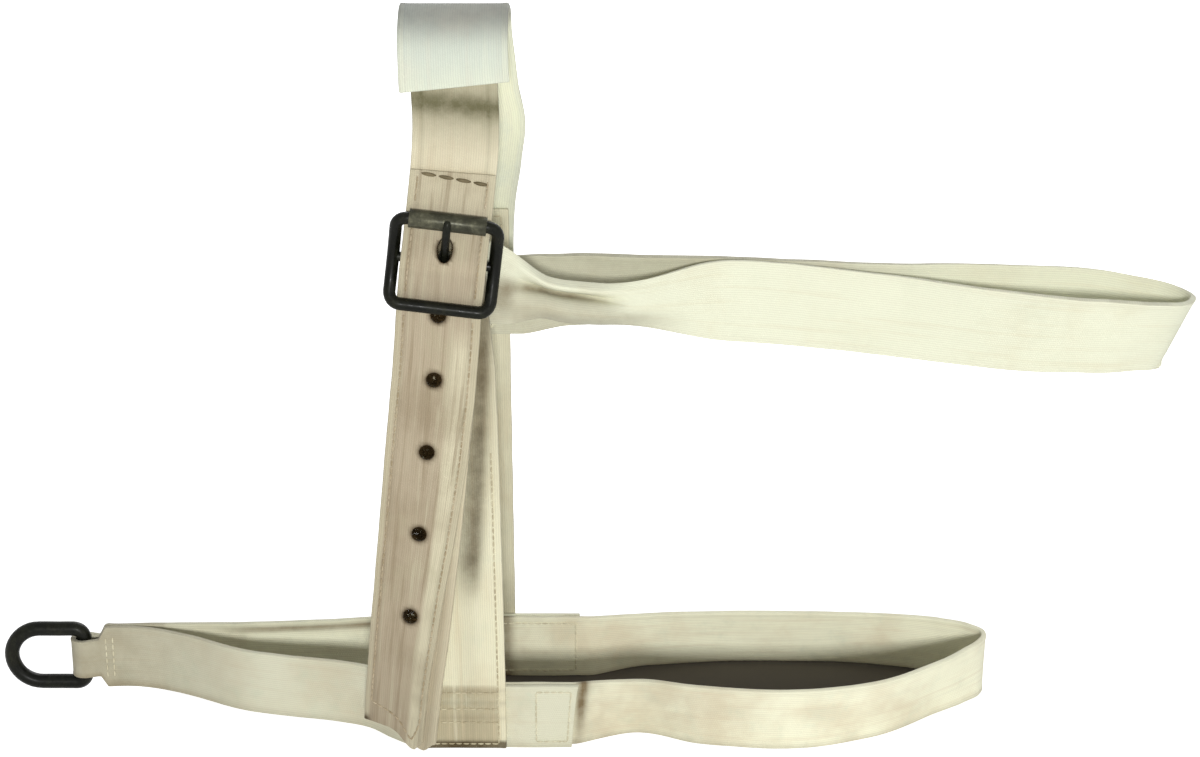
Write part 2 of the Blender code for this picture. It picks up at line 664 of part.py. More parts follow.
def buckle_frame(material, buckle):
    """The buckle's bowed rectangle with the bar across its middle, one casting."""
    outline = rounded_corner_points(FRAME_HALF_WIDTH, BUCKLE_PITCH, BUCKLE_CORNER)
    points = []
    for x, z in subdivided(outline, 4.5 * MM):
        bow = BUCKLE_BOW * (z / BUCKLE_PITCH) ** 2
        points.append((x, -bow, z))
    frame = rod_mesh("buckle_frame", points, BUCKLE_ROD, True, material)
    along_bar = Matrix.Rotation(math.pi / 2.0, 4, "Y")
    bar = tool(bar_object("centre_bar", CENTRE_BAR, 2.0 * FRAME_HALF_WIDTH, along_bar,
                          collection=bpy.data.collections["cutters"]))
    frame.parent = buckle
    bar.parent = buckle
    join(frame, bar, "UNION")
    return frame


def buckle_roller(material, axis):
    """The roller: a short tube, turned about the buckle's top bar."""
    half = FRAME_HALF_WIDTH - BUCKLE_CORNER - ROLLER_END_GAP
    round_edge = 0.5 * MM
    profile = [(half - round_edge, ROLLER_RADIUS), (half, ROLLER_RADIUS - round_edge),
               (half, ROLLER_BORE), (-half, ROLLER_BORE),
               (-half, ROLLER_RADIUS - round_edge), (-half + round_edge, ROLLER_RADIUS)]
    bm = bmesh.new()
    ring = [bm.verts.new((x, 0.0, radius)) for x, radius in profile]
    for here, after in zip(ring, ring[1:] + ring[:1]):
        bm.edges.new((here, after))
    roller = new_object("buckle_roller", bm, material)
    screw = roller.modifiers.new("turned", "SCREW")
    screw.axis = "X"
    screw.steps = ROUND_SIDES
    screw.render_steps = ROUND_SIDES
    screw.use_merge_vertices = True
    screw.merge_threshold = 0.00001
    screw.use_normal_calculate = True
    roller.parent = axis
    return roller


def buckle_prong(material, axis):
    """The prong: an eye round the middle bar and a shank that lies on the roller."""
    eye_radius = PRONG_BORE + PRONG_EYE_WALL
    middle = PRONG_BORE + PRONG_EYE_WALL / 2.0
    root = (middle * math.cos(math.radians(30.0)), middle * math.sin(math.radians(30.0)))
    rest = ROLLER_RADIUS + PRONG_RADIUS + PRONG_SEAT_GAP
    toward = (BUCKLE_BOW - root[0], BUCKLE_PITCH - root[1])
    lean = math.asin(rest / math.hypot(*toward)) + math.atan2(*toward)
    hug = arc((BUCKLE_BOW, BUCKLE_PITCH), rest, -lean, math.radians(16.0), 4)
    middle_way = ((root[0] + hug[0][0]) / 2.0, (root[1] + hug[0][1]) / 2.0)
    shank = [(0.0, -proud, height) for proud, height in (root, middle_way, *hug)]
    prong = rod_mesh("buckle_prong", shank, PRONG_RADIUS, False, material)
    cutters = bpy.data.collections["cutters"]
    along_bar = Matrix.Rotation(math.pi / 2.0, 4, "Y")
    eye = tool(bar_object("prong_eye", eye_radius, PRONG_EYE_WIDTH, along_bar,
                          collection=cutters))
    bore = tool(bar_object("prong_bore", PRONG_BORE, 3.0 * PRONG_EYE_WIDTH, along_bar,
                           collection=cutters))
    for made in (prong, eye, bore):
        made.parent = axis
    join(prong, eye, "UNION")
    join(prong, bore, "DIFFERENCE")
    return prong


def lead_dee(material, axis):
    """The dee on the chin strap: a straight bar, two legs and a round bow."""
    half = DEE_HEIGHT / 2.0
    bow_centre = -(DEE_DEPTH - half)
    corner_x = -DEE_CORNER
    outline = arc((corner_x, half - DEE_CORNER), DEE_CORNER, 0.0, math.pi / 2.0, 4)
    outline += arc((bow_centre, 0.0), half, math.pi / 2.0, 1.5 * math.pi, 12)
    outline += arc((corner_x, -half + DEE_CORNER), DEE_CORNER, 1.5 * math.pi, 2.0 * math.pi, 4)
    points = [(x, 0.0, z) for x, z in outline]
    dee = rod_mesh("lead_dee", points, DEE_ROD, True, material)
    dee.parent = axis
    return dee


def stand_on_origin(root):
    """Move the whole halter so that its box stands on the origin, centred in X and Y."""
    bpy.context.view_layer.update()
    graph = bpy.context.evaluated_depsgraph_get()
    corners = []
    for made in bpy.data.collections["halter"].objects:
        if made.type == "MESH":
            solid = made.evaluated_get(graph)
            corners += [solid.matrix_world @ vertex.co for vertex in solid.data.vertices]
    low = Vector([min(corner[axis] for corner in corners) for axis in range(3)])
    high = Vector([max(corner[axis] for corner in corners) for axis in range(3)])
    root.location = (-(low.x + high.x) / 2.0, -(low.y + high.y) / 2.0, -low.z)
    for cutter in bpy.data.collections["cutters"].objects:
        if cutter.parent is None:
            cutter.parent = root
    bpy.context.view_layer.update()


def clear_scene():
    """Remove what the file starts with and make the two collections."""
    for made in list(bpy.data.objects):
        bpy.data.objects.remove(made, do_unlink=True)
    for name in ("halter", "cutters"):
        collection = bpy.data.collections.new(name)
        bpy.context.scene.collection.children.link(collection)


def build():
    """Model the halter."""
    clear_scene()
    linen = make_material("linen_web", LINEN, 0.85, 0.0)
    tan = make_material("tan_web", TAN, 0.85, 0.0)
    white = make_material("crown_web", CROWN_WHITE, 0.85, 0.0)
    iron = make_material("japanned_iron", IRON, 0.42, 0.6)
    root = make_axis("halter_root", None, (0.0, 0.0, 0.0))
    bar_place = (BUCKLE_X, BUCKLE_Y, BUCKLE_Z)
    buckle = make_axis("buckle_bar_axis", root, bar_place, BUCKLE_ROLL)
    roller_axis = make_axis("roller_axis", buckle, (0.0, -BUCKLE_BOW, BUCKLE_PITCH))
    hinge = make_axis("billet_hinge_axis", root, hinge_place())
    dee_height = NOSE_WIDTH / 2.0 + DEE_LIFT
    dee_axis = make_axis("dee_bar_axis", root, (DEE_X, DEE_Y, dee_height))
    straps = [nose_strap(linen), chin_strap(linen), brow_strap(linen), crown_strap(white),
              cheek_near_strap(linen, buckle), cheek_far_strap(linen)]
    rigid, free, middle = billet_pieces(linen, tan, hinge)
    for strap in straps + rigid:
        strap.parent = root
    punch_billet(rigid, free, middle)
    buckle_frame(iron, buckle)
    buckle_roller(iron, roller_axis)
    buckle_prong(iron, buckle)
    lead_dee(iron, dee_axis)
    stand_on_origin(root)
    for axis in (buckle, roller_axis, hinge, dee_axis):
        place = axis.matrix_world.translation
        print(f"{axis.name}: {place.x:.6f} {place.y:.6f} {place.z:.6f}")


build()
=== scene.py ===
"""Cotton-web halter with a roller buckle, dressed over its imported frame.

Each web is laid along the route of the solid that it replaces, with rounded selvedges, punched
holes and rows of thread. The iron is drawn again with its bends, seam and bore.
"""

import json
import logging
import math
import random
from dataclasses import dataclass, field
from enum import Enum
from typing import Callable, Iterable, Optional, Sequence

import bpy
from mathutils import Matrix, Vector, noise


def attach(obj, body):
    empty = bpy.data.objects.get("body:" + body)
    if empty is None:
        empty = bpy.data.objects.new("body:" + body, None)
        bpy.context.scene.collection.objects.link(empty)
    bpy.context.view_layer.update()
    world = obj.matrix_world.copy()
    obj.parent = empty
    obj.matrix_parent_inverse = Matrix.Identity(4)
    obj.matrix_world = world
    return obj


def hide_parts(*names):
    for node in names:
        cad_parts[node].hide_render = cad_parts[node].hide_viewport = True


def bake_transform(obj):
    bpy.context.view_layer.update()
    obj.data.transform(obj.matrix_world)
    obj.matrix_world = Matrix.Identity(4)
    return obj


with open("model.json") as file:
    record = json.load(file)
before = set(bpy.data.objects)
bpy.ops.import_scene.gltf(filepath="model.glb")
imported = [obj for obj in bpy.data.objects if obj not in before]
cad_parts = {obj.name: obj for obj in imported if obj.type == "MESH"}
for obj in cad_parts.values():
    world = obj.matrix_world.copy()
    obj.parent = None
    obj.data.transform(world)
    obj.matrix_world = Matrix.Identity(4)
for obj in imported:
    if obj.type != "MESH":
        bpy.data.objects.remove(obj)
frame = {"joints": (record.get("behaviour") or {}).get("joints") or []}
log = logging.getLogger("halter")

MM = 0.001
Row = Sequence[float]
Tone = tuple[int, int, int]
Place = tuple[float, float]
Across = Callable[[Vector], Vector]
Look = Callable[[Vector, float], float]
Crease = Callable[[Vector, float], tuple[float, float]]


class Face(Enum):
    """The two faces of a web, as the sign of its outward normal."""

    OUTER = 1.0
    INNER = -1.0


class Body(Enum):
    """The bodies of the frame that the pieces ride on."""

    HALTER = "halter"
    BILLET_END = "billet_end"
    DEE = "dee"
    BUCKLE = "buckle"
    ROLLER = "roller"
    PRONG = "prong"


def tone(red: int, green: int, blue: int) -> tuple[float, float, float, float]:
    """A colour from its display values, in the linear values that a shader takes.

    Args:
        red, green, blue: Display values, 0 to 255.

    Returns:
        Linear red, green and blue, and an alpha of 1.
    """
    linear = []
    for value in (red, green, blue):
        share = value / 255.0
        linear.append(share / 12.92 if share <= 0.04045 else ((share + 0.055) / 1.055) ** 2.4)
    return (*linear, 1.0)


def rise(value: float, start: float, end: float) -> float:
    """Smooth rise from 0 at the start to 1 at the end."""
    share = min(1.0, max(0.0, (value - start) / (end - start)))
    return share * share * (3.0 - 2.0 * share)


def fall(value: float, start: float, end: float) -> float:
    """Smooth fall from 1 at the start to 0 at the end."""
    return 1.0 - rise(value, start, end)


def bump(value: float, centre: float, width: float) -> float:
    """A bell curve that is 1 at its centre and fades within about twice its width."""
    return math.exp(-((value - centre) / width) ** 2)


def joint_place(name: str) -> Vector:
    """The place of a joint of the frame."""
    found = next(joint for joint in frame["joints"] if joint["name"] == name)
    return Vector(found["pos_m"])


@dataclass(frozen=True)
class Sizes:
    """The sizes that more than one piece shares, as the solids have them."""

    nose_width: float = 32.0 * MM
    strap_width: float = 38.0 * MM
    crown_width: float = 48.0 * MM
    web: float = 2.6 * MM
    cheek: float = 2.2 * MM
    ply: float = 1.8 * MM
    ply_gap: float = 0.3 * MM
    billet_gap: float = 0.5 * MM
    rock_gap: float = 1.0 * MM
    nose_near_y: float = -36.6 * MM
    nose_far_y: float = 35.4 * MM
    temple_far_y: float = 17.5 * MM
    bar: Vector = field(default_factory=lambda: Vector((-69.0, -40.0, 241.0)) * MM)
    dee: Vector = field(default_factory=lambda: Vector((-252.7, 20.0, 18.6)) * MM)
    roll: float = math.radians(7.0)
    pitch: float = 20.0 * MM
    bow: float = 6.0 * MM
    rod: float = 2.8 * MM
    centre_bar: float = 2.2 * MM
    roller: float = 4.1 * MM
    prong_eye_width: float = 4.6 * MM
    dee_rod: float = 3.6 * MM
    dee_height: float = 28.5 * MM

    @property
    def billet(self) -> float:
        """Thickness of the doubled billet."""
        return 2.0 * self.ply + self.ply_gap

    @property
    def chape(self) -> float:
        """Radius of the cheek's middle line round the buckle's bar."""
        return self.centre_bar + self.ply_gap + self.cheek / 2.0

    @property
    def over_bar(self) -> float:
        """Radius of the billet's middle line over the bar and the cheek's fold."""
        return self.centre_bar + self.ply_gap + self.cheek + self.billet_gap + self.billet / 2.0

    @property
    def lap_step(self) -> float:
        """Distance between the middles of two webs of the noseband where they are lapped."""
        return self.web + self.ply_gap

    @property
    def near_foot_y(self) -> float:
        """Middle of the near cheek's foot, outside both webs of the noseband."""
        return (self.nose_near_y - self.lap_step - (self.web + self.cheek) / 2.0
                - self.ply_gap)


SIZES = Sizes()
SHIFT = joint_place("buckle_rock") - SIZES.bar
UP = Vector((0.0, 0.0, 1.0))
LEVEL = Vector((1.0, 0.0, 0.0))
BACK = Vector((0.0, 1.0, 0.0))
ALONG_BAR = Matrix.Rotation(SIZES.roll, 3, "Y") @ LEVEL
BUCKLE_PLACE = Matrix.Translation(SIZES.bar + SHIFT) @ Matrix.Rotation(SIZES.roll, 4, "Y")
ON_SIDE = (0.0, math.pi / 2.0, 0.0)


# Routes

@dataclass(frozen=True)
class Station:
    """A point that a web passes through, and the twist of its width there."""

    point: Vector
    twist: float = 0.0


def stations(rows: Iterable[Row]) -> list[Station]:
    """Stations from rows of x, y, z in millimetres and, where given, a twist in degrees."""
    return [Station(Vector(row[:3]) * MM + SHIFT, math.radians(row[3]) if len(row) > 3 else 0.0)
            for row in rows]


def lap(end_x: float, bend_x: float, y: float, z: float) -> list[Row]:
    """Rows of a straight lapped end, with stations close before its bend to keep it flat.

    Args:
        end_x, bend_x: Where the lap ends and where the web leaves it, in millimetres.
        y, z: Place of its middle line, in millimetres.

    Returns:
        Four rows.
    """
    pin = math.copysign(2.5, bend_x - end_x)
    return [(end_x, y, z), (bend_x - 2.0 * pin, y, z), (bend_x - pin, y, z), (bend_x, y, z)]


class Route:
    """A web's middle line, sampled finely, with its directions at every sample."""

    def __init__(self, samples: list[Station], across: Across) -> None:
        """Find the directions and the run of a sampled line.

        Args:
            samples: The line.
            across: The direction of the width at a place.
        """
        self.samples = samples
        self.across = across
        self.frames = self._find_frames()
        self.run = [0.0]
        for before, after in zip(samples, samples[1:]):
            self.run.append(self.run[-1] + (after.point - before.point).length)

    @classmethod
    def through(cls, places: list[Station], across: Across,
                spacing: float = 1.5 * MM) -> "Route":
        """The centripetal Catmull-Rom curve through the stations.

        Args:
            places: The stations.
            across: The direction of the width at a place.
            spacing: Rough distance between samples.

        Returns:
            The sampled route.
        """
        points = [place.point for place in places]
        padded = [points[0] * 2.0 - points[1], *points, points[-1] * 2.0 - points[-2]]
        made = []
        for index in range(len(points) - 1):
            p0, p1, p2, p3 = padded[index:index + 4]
            t1 = math.sqrt((p1 - p0).length)
            t2 = t1 + math.sqrt((p2 - p1).length)
            t3 = t2 + math.sqrt((p3 - p2).length)
            steps = max(1, round((p2 - p1).length / spacing))
            for step in range(steps):
                share = step / steps
                t = t1 + (t2 - t1) * share
                a1 = p0 * ((t1 - t) / t1) + p1 * (t / t1)
                a2 = p1 * ((t2 - t) / (t2 - t1)) + p2 * ((t - t1) / (t2 - t1))
                a3 = p2 * ((t3 - t) / (t3 - t2)) + p3 * ((t - t2) / (t3 - t2))
                b1 = a1 * ((t2 - t) / t2) + a2 * (t / t2)
                b2 = a2 * ((t3 - t) / (t3 - t1)) + a3 * ((t - t1) / (t3 - t1))
                point = b1 * ((t2 - t) / (t2 - t1)) + b2 * ((t - t1) / (t2 - t1))
                ease = share * share * (3.0 - 2.0 * share)
                twist = places[index].twist * (1.0 - ease) + places[index + 1].twist * ease
                made.append(Station(point, twist))
        made.append(places[-1])
        return cls(made, across)

    def _find_frames(self) -> list[tuple[Vector, Vector, Vector]]:
        """Find the directions at every sample.

        Returns:
            Tangent, width direction and outward normal of each.
        """
        steps = [(after.point - here.point).normalized()
                 for here, after in zip(self.samples, self.samples[1:])]
        made = []
        for index, sample in enumerate(self.samples):
            tangent = (steps[max(index - 1, 0)] + steps[min(index, len(steps) - 1)]).normalized()
            width = self.across(sample.point)
            tangent = (tangent - width * width.dot(tangent)).normalized()
            width = Matrix.Rotation(sample.twist, 3, tangent) @ width
            made.append((tangent, width, tangent.cross(width)))
        return made

    @property
    def length(self) -> float:
        """Length of the middle line."""
        return self.run[-1]

    def moved(self, distance: float) -> "Route":
        """The route of a ply that lies on this one, a distance outward."""
        shifted = [Station(sample.point + frame_here[2] * distance, sample.twist)
                   for sample, frame_here in zip(self.samples, self.frames)]
        return Route(shifted, self.across)

    def spot(self, distance: float) -> tuple[Vector, Vector, Vector, Vector]:
        """The line at a distance along it.

        Args:
            distance: How far along.

        Returns:
            The point, the tangent, the width direction and the normal.
        """
        low, high = 0, len(self.run) - 1
        while high - low > 1:
            middle = (low + high) // 2
            if self.run[middle] <= distance:
                low = middle
            else:
                high = middle
        share = (distance - self.run[low]) / (self.run[high] - self.run[low])
        point = self.samples[low].point.lerp(self.samples[high].point, share)
        turned = [one.lerp(other, share).normalized()
                  for one, other in zip(self.frames[low], self.frames[high])]
        return (point, *turned)

    def nearest(self, point: Vector) -> float:
        """Distance along the route of the sample that lies nearest to a point."""
        index = min(range(len(self.samples)),
                    key=lambda i: (self.samples[i].point - point).length_squared)
        return self.run[index]

    def at_height(self, height: float, last: bool = True) -> float:
        """Distance along the route where it crosses a height above the floor.

        Args:
            height: The height.
            last: Take the last crossing, not the first.

        Returns:
            The distance of the crossing.
        """
        found = 0.0
        for index in range(len(self.samples) - 1):
            here = self.samples[index].point.z - height
            after = self.samples[index + 1].point.z - height
            if here * after <= 0.0 and here != after:
                share = here / (here - after)
                found = self.run[index] + (self.run[index + 1] - self.run[index]) * share
                if not last:
                    return found
        return found


def ripple(point: Vector) -> Vector:
    """How far the webs lie off their routes: soft waves, and none beside the iron.

    Args:
        point: Place on a web.

    Returns:
        The move of that place.
    """
    calm = min((point - joint_place("buckle_rock")).length,
               (point - joint_place("dee_swing")).length)
    share = rise(calm, 24.0 * MM, 60.0 * MM)
    wide = noise.noise(Vector((point.x * 26.0, 0.0, point.z * 26.0))) * 0.7 * MM
    fine = noise.noise(Vector((point.x * 90.0, 7.0, point.z * 90.0))) * 0.14 * MM
    return BACK * ((wide + fine) * share)


# Work in Blender

def deselect() -> None:
    """Leave object mode with nothing selected."""
    if bpy.context.mode != "OBJECT":
        bpy.ops.object.mode_set(mode="OBJECT")
    bpy.ops.object.select_all(action="DESELECT")


def pick(piece: bpy.types.Object) -> None:
    """Make one object selected and active.

    Args:
        piece: The object.
    """
    deselect()
    piece.select_set(True)
    bpy.context.view_layer.objects.active = piece


def primitive(operator: Callable, name: str = "", **values: object) -> bpy.types.Object:
    """Add a primitive with nothing else selected.

    Args:
        operator: What adds it.
        name: Its name, where it is to become a piece.
        values: What the operator takes.

    Returns:
        The new object.
    """
    deselect()
    operator(**values)
    made = bpy.context.active_object
    if name:
        made.name = name
        made.data.name = name
    return made


def apply_modifiers(piece: bpy.types.Object) -> None:
    """Apply every modifier of a piece, in order.

    Args:
        piece: The piece.
    """
    pick(piece)
    for modifier in list(piece.modifiers):
        bpy.ops.object.modifier_apply(modifier=modifier.name)


def settle(piece: bpy.types.Object) -> None:
    """Put a piece's place into its mesh."""
    pick(piece)
    bpy.ops.object.transform_apply(location=True, rotation=True, scale=True)


def tidy_shell(piece: bpy.types.Object, close: bool = False) -> None:
    """Merge doubled points and turn the faces outward.

    Args:
        piece: A closed shell, or one that closing makes so.
        close: Fill its open ends too.
    """
    pick(piece)
    bpy.ops.object.mode_set(mode="EDIT")
    bpy.ops.mesh.select_all(action="SELECT")
    bpy.ops.mesh.remove_doubles(threshold=0.01 * MM)
    if close:
        bpy.ops.mesh.fill_holes(sides=0)
    bpy.ops.mesh.normals_make_consistent(inside=False)
    bpy.ops.object.mode_set(mode="OBJECT")


def boolean(piece: bpy.types.Object, other: bpy.types.Object, operation: str) -> None:
    """Cut or join a piece with another, which is used up.

    Args:
        piece: What is worked on.
        other: The tool.
        operation: UNION or DIFFERENCE.
    """
    modifier = piece.modifiers.new("cut", "BOOLEAN")
    modifier.operation = operation
    modifier.solver = "EXACT"
    modifier.object = other
    apply_modifiers(piece)
    bpy.data.objects.remove(other, do_unlink=True)


def round_edges(piece: bpy.types.Object, width: float, angle: float) -> None:
    """Bevel a piece's sharp edges, and shade the rest smooth.

    Args:
        piece: What is worked on.
        width: Width of the bevel.
        angle: Edges that turn by more than this many degrees are bevelled.
    """
    bevel = piece.modifiers.new("round", "BEVEL")
    bevel.width = width
    bevel.segments = 2
    bevel.limit_method = "ANGLE"
    bevel.angle_limit = math.radians(angle)
    bevel.use_clamp_overlap = True
    bevel.miter_outer = "MITER_SHARP"
    apply_modifiers(piece)
    bpy.ops.object.shade_smooth_by_angle(angle=math.radians(35.0))


def smooth(piece: bpy.types.Object) -> None:
    """Shade a piece smooth all over."""
    pick(piece)
    bpy.ops.object.shade_smooth()


def dress(piece: bpy.types.Object, material: bpy.types.Material, slot: str) -> None:
    """Give a finished piece its material.

    Args:
        piece: The piece.
        material: Its material.
        slot: Not used.
    """
    piece.data.materials.clear()
    piece.data.materials.append(material)
    log.info("%s: %d faces", piece.name, len(piece.data.polygons))


class Gathered:
    """Many small shapes that become one piece."""

    def __init__(self) -> None:
        """Start with nothing."""
        self.points: list[Vector] = []
        self.faces: list[tuple[int, ...]] = []

    def add(self, points: Iterable[Vector], faces: Iterable[Sequence[int]]) -> None:
        """Add one shape.

        Args:
            points: Its points.
            faces: Its faces, which count its own points from 0.
        """
        first = len(self.points)
        self.points += points
        self.faces += [tuple(first + index for index in face) for face in faces]

    def piece(self, name: str) -> bpy.types.Object:
        """All the shapes as one object.

        Args:
            name: Its name.

        Returns:
            The new object.
        """
        mesh = bpy.data.meshes.new(name)
        mesh.from_pydata(self.points, [], self.faces)
        mesh.update()
        made = bpy.data.objects.new(name, mesh)
        bpy.context.scene.collection.objects.link(made)
        return made


# Finishes

class Nodes:
    """A small helper that adds and links the nodes of one tree."""

    def __init__(self, tree: bpy.types.NodeTree) -> None:
        """Hold the tree."""
        self.tree = tree

    def feed(self, source: object, target: bpy.types.NodeSocket) -> None:
        """Link a socket, or set a plain value, to an input.

        Args:
            source: The socket or the value.
            target: The input.
        """
        if isinstance(source, bpy.types.NodeSocket):
            self.tree.links.new(source, target)
        else:
            target.default_value = source

    def fill(self, node: bpy.types.Node, sources: dict) -> bpy.types.Node:
        """Feed the inputs of a node.

        Args:
            node: The node.
            sources: A socket or a plain value for each input's name or number.

        Returns:
            The node.
        """
        for label, source in sources.items():
            self.feed(source, node.inputs[label])
        return node

    def add(self, kind: str, sources: Optional[dict] = None, **values: object) -> bpy.types.Node:
        """A new shader node.

        Args:
            kind: Its type, without the word that all shader nodes start with.
            sources: What feeds its inputs.
            values: Its properties.

        Returns:
            The node.
        """
        node = self.tree.nodes.new("ShaderNode" + kind)
        for name, value in values.items():
            setattr(node, name, value)
        return self.fill(node, sources or {})

    def group(self, name: str, sources: dict) -> bpy.types.bpy_prop_collection:
        """The outputs of one of the shared groups, placed and fed."""
        return self.add("Group", sources, node_tree=GROUPS[name]).outputs

    def math(self, operation: str, *sources: object) -> bpy.types.NodeSocket:
        """The value of a Math node."""
        return self.add("Math", dict(enumerate(sources)), operation=operation).outputs[0]

    def vector(self, operation: str, sources: dict) -> bpy.types.NodeSocket:
        """The vector of a Vector Math node."""
        return self.add("VectorMath", sources, operation=operation).outputs[0]

    def mix(self, share: object, first: object, second: object) -> bpy.types.NodeSocket:
        """A colour between two."""
        return self.add("Mix", {0: share, 6: first, 7: second}, data_type="RGBA").outputs[2]

    def noise(self, vector: object, scale: float, detail: float = 3.0,
              roughness: float = 0.55) -> bpy.types.NodeSocket:
        """A noise texture's value."""
        return self.add("TexNoise", {"Vector": vector, "Scale": scale, "Detail": detail,
                                     "Roughness": roughness}).outputs[0]

    def ramp(self, source: object, low: float, high: float,
             start: float = 0.0, end: float = 1.0) -> bpy.types.NodeSocket:
        """A value taken smoothly from one range to another."""
        return self.add("MapRange", dict(enumerate((source, low, high, start, end))),
                        interpolation_type="SMOOTHSTEP").outputs[0]

    def relief(self, height: object, strength: float, distance: float) -> bpy.types.NodeSocket:
        """The normal of a Bump node."""
        return self.add("Bump", {"Strength": strength, "Distance": distance,
                                 "Height": height}).outputs[0]


def new_group(name: str, inputs: dict[str, object],
              outputs: Sequence[str]) -> tuple[bpy.types.NodeTree, Nodes, dict, dict]:
    """A shader node group with named sockets.

    Args:
        name: The group's name.
        inputs: Each input's name and its value: three numbers make a vector, four a colour.
        outputs: The outputs' names. One that ends in colour is a colour.

    Returns:
        The group, its helper, its inputs' sockets inside and its outputs' sockets inside.
    """
    group = bpy.data.node_groups.new(name, "ShaderNodeTree")
    for label, value in inputs.items():
        size = len(value) if isinstance(value, tuple) else 1
        kind = {1: "NodeSocketFloat", 3: "NodeSocketVector", 4: "NodeSocketColor"}[size]
        socket = group.interface.new_socket(name=label, in_out="INPUT", socket_type=kind)
        socket.default_value = value
    for label in outputs:
        kind = "NodeSocketColor" if label.lower().endswith("colour") else "NodeSocketFloat"
        group.interface.new_socket(name=label, in_out="OUTPUT", socket_type=kind)
    inner = group.nodes.new("NodeGroupInput")
    outer = group.nodes.new("NodeGroupOutput")
    return group, Nodes(group), inner.outputs, outer.inputs


def weave_group() -> bpy.types.NodeTree:
    """Plain weave on a web's own map: cords along it, crossed over and under by the weft.

    Returns:
        The group.
    """
    group, nodes, given, out = new_group(
        "web weave", {"Map": (0.0, 0.0, 0.0), "Cord pitch": 1.05 * MM, "Pick pitch": 1.1 * MM,
                      "Half width": 19.0 * MM}, ("Height", "Hollow shade", "Selvedge"))

    def hump(value: bpy.types.NodeSocket) -> bpy.types.NodeSocket:
        """A half wave over each whole step of a value."""
        return nodes.math("SINE", nodes.math("MULTIPLY", nodes.math("FRACT", value), math.pi))

    drift = nodes.add("TexNoise", {"Vector": given["Map"], "Scale": 130.0})
    centred = nodes.vector("SUBTRACT", {0: drift.outputs["Color"], 1: (0.5, 0.5, 0.5)})
    small = nodes.vector("SCALE", {0: centred, "Scale": 0.8 * MM})
    moved = nodes.add("SeparateXYZ", {0: nodes.vector("ADD", {0: given["Map"], 1: small})})
    cord = nodes.math("DIVIDE", moved.outputs["Y"], given["Cord pitch"])
    odd = nodes.math("MULTIPLY", nodes.math("FLOOR", cord), 0.5)
    pick_place = nodes.math("DIVIDE", moved.outputs["X"], given["Pick pitch"])
    bumps = nodes.math("MULTIPLY_ADD", hump(nodes.math("ADD", pick_place, odd)), 0.5, 0.5)
    woven = nodes.math("MULTIPLY", nodes.math("POWER", hump(cord), 0.6), bumps)
    plain = nodes.add("SeparateXYZ", {0: given["Map"]})
    from_edge = nodes.math("SUBTRACT", given["Half width"],
                           nodes.math("ABSOLUTE", plain.outputs["Y"]))
    beside_groove = nodes.math("ABSOLUTE", nodes.math("SUBTRACT", from_edge, 2.9 * MM))
    groove = nodes.ramp(beside_groove, 0.0, 0.5 * MM, 0.55, 0.0)
    nodes.feed(nodes.math("SUBTRACT", woven, groove), out["Height"])
    # The hollows between cords feed painted shade.
    nodes.feed(nodes.ramp(woven, 0.05, 0.6, 1.0, 0.0), out["Hollow shade"])
    nodes.feed(nodes.ramp(from_edge, 2.2 * MM, 3.0 * MM, 1.0, 0.0), out["Selvedge"])
    return group


def soil_group() -> bpy.types.NodeTree:
    """Cotton's colour: mottled and streaked along the web, tinted, stained, soiled and painted
    with shade.

    Returns:
        The group.
    """
    group, nodes, given, out = new_group(
        "cotton colour",
        {"Place": (0.0, 0.0, 0.0), "Map": (0.0, 0.0, 0.0), "Clean": (0.8, 0.8, 0.7, 1.0),
         "Warm": (0.6, 0.5, 0.4, 1.0), "Cool": (0.7, 0.8, 0.7, 1.0),
         "Edge colour": (0.8, 0.8, 0.7, 1.0), "Tint colour": (0.8, 0.8, 0.7, 1.0),
         "Soil colour": (0.3, 0.25, 0.2, 1.0), "Mottle": 0.4, "Streaks": 0.3, "Edge": 0.2,
         "Tint": 0.0, "Soil": 0.0, "Hollow shade": 0.0, "Selvedge": 0.0}, ("Colour", "Roughness"))
    broad = nodes.noise(given["Place"], 22.0, 4.0, 0.6)
    other = nodes.noise(given["Place"], 55.0, 5.0, 0.65)
    drawn = nodes.vector("MULTIPLY", {0: given["Map"], 1: (12.0, 240.0, 1.0)})
    streak = nodes.noise(drawn, 1.0, 3.0, 0.6)
    faint = nodes.math("MULTIPLY", given["Mottle"], 0.7)
    colour = nodes.mix(given["Tint"], given["Clean"], given["Tint colour"])
    for mask, amount, target in (
            (nodes.ramp(broad, 0.46, 0.72), given["Mottle"], "Warm"),
            (nodes.ramp(other, 0.5, 0.72), faint, "Cool"),
            (nodes.ramp(streak, 0.5, 0.68), given["Streaks"], "Warm"),
            (nodes.ramp(streak, 0.48, 0.34), given["Streaks"], "Edge colour"),
            (given["Selvedge"], given["Edge"], "Edge colour")):
        colour = nodes.mix(nodes.math("MULTIPLY", mask, amount), colour, given[target])
    patchy = nodes.ramp(nodes.noise(given["Place"], 90.0, 6.0, 0.7), 0.3, 0.7, 0.84, 1.08)
    soiled = nodes.math("MINIMUM", nodes.math("MULTIPLY", given["Soil"], patchy), 1.0)
    # Painted shade: the soil colour also darkens the weave's hollows.
    for mask in (soiled, nodes.math("MULTIPLY", given["Hollow shade"], 0.2)):
        colour = nodes.mix(mask, colour, given["Soil colour"])
    nodes.feed(colour, out["Colour"])
    nodes.feed(nodes.ramp(other, 0.2, 0.8, 0.78, 0.95), out["Roughness"])
    return group


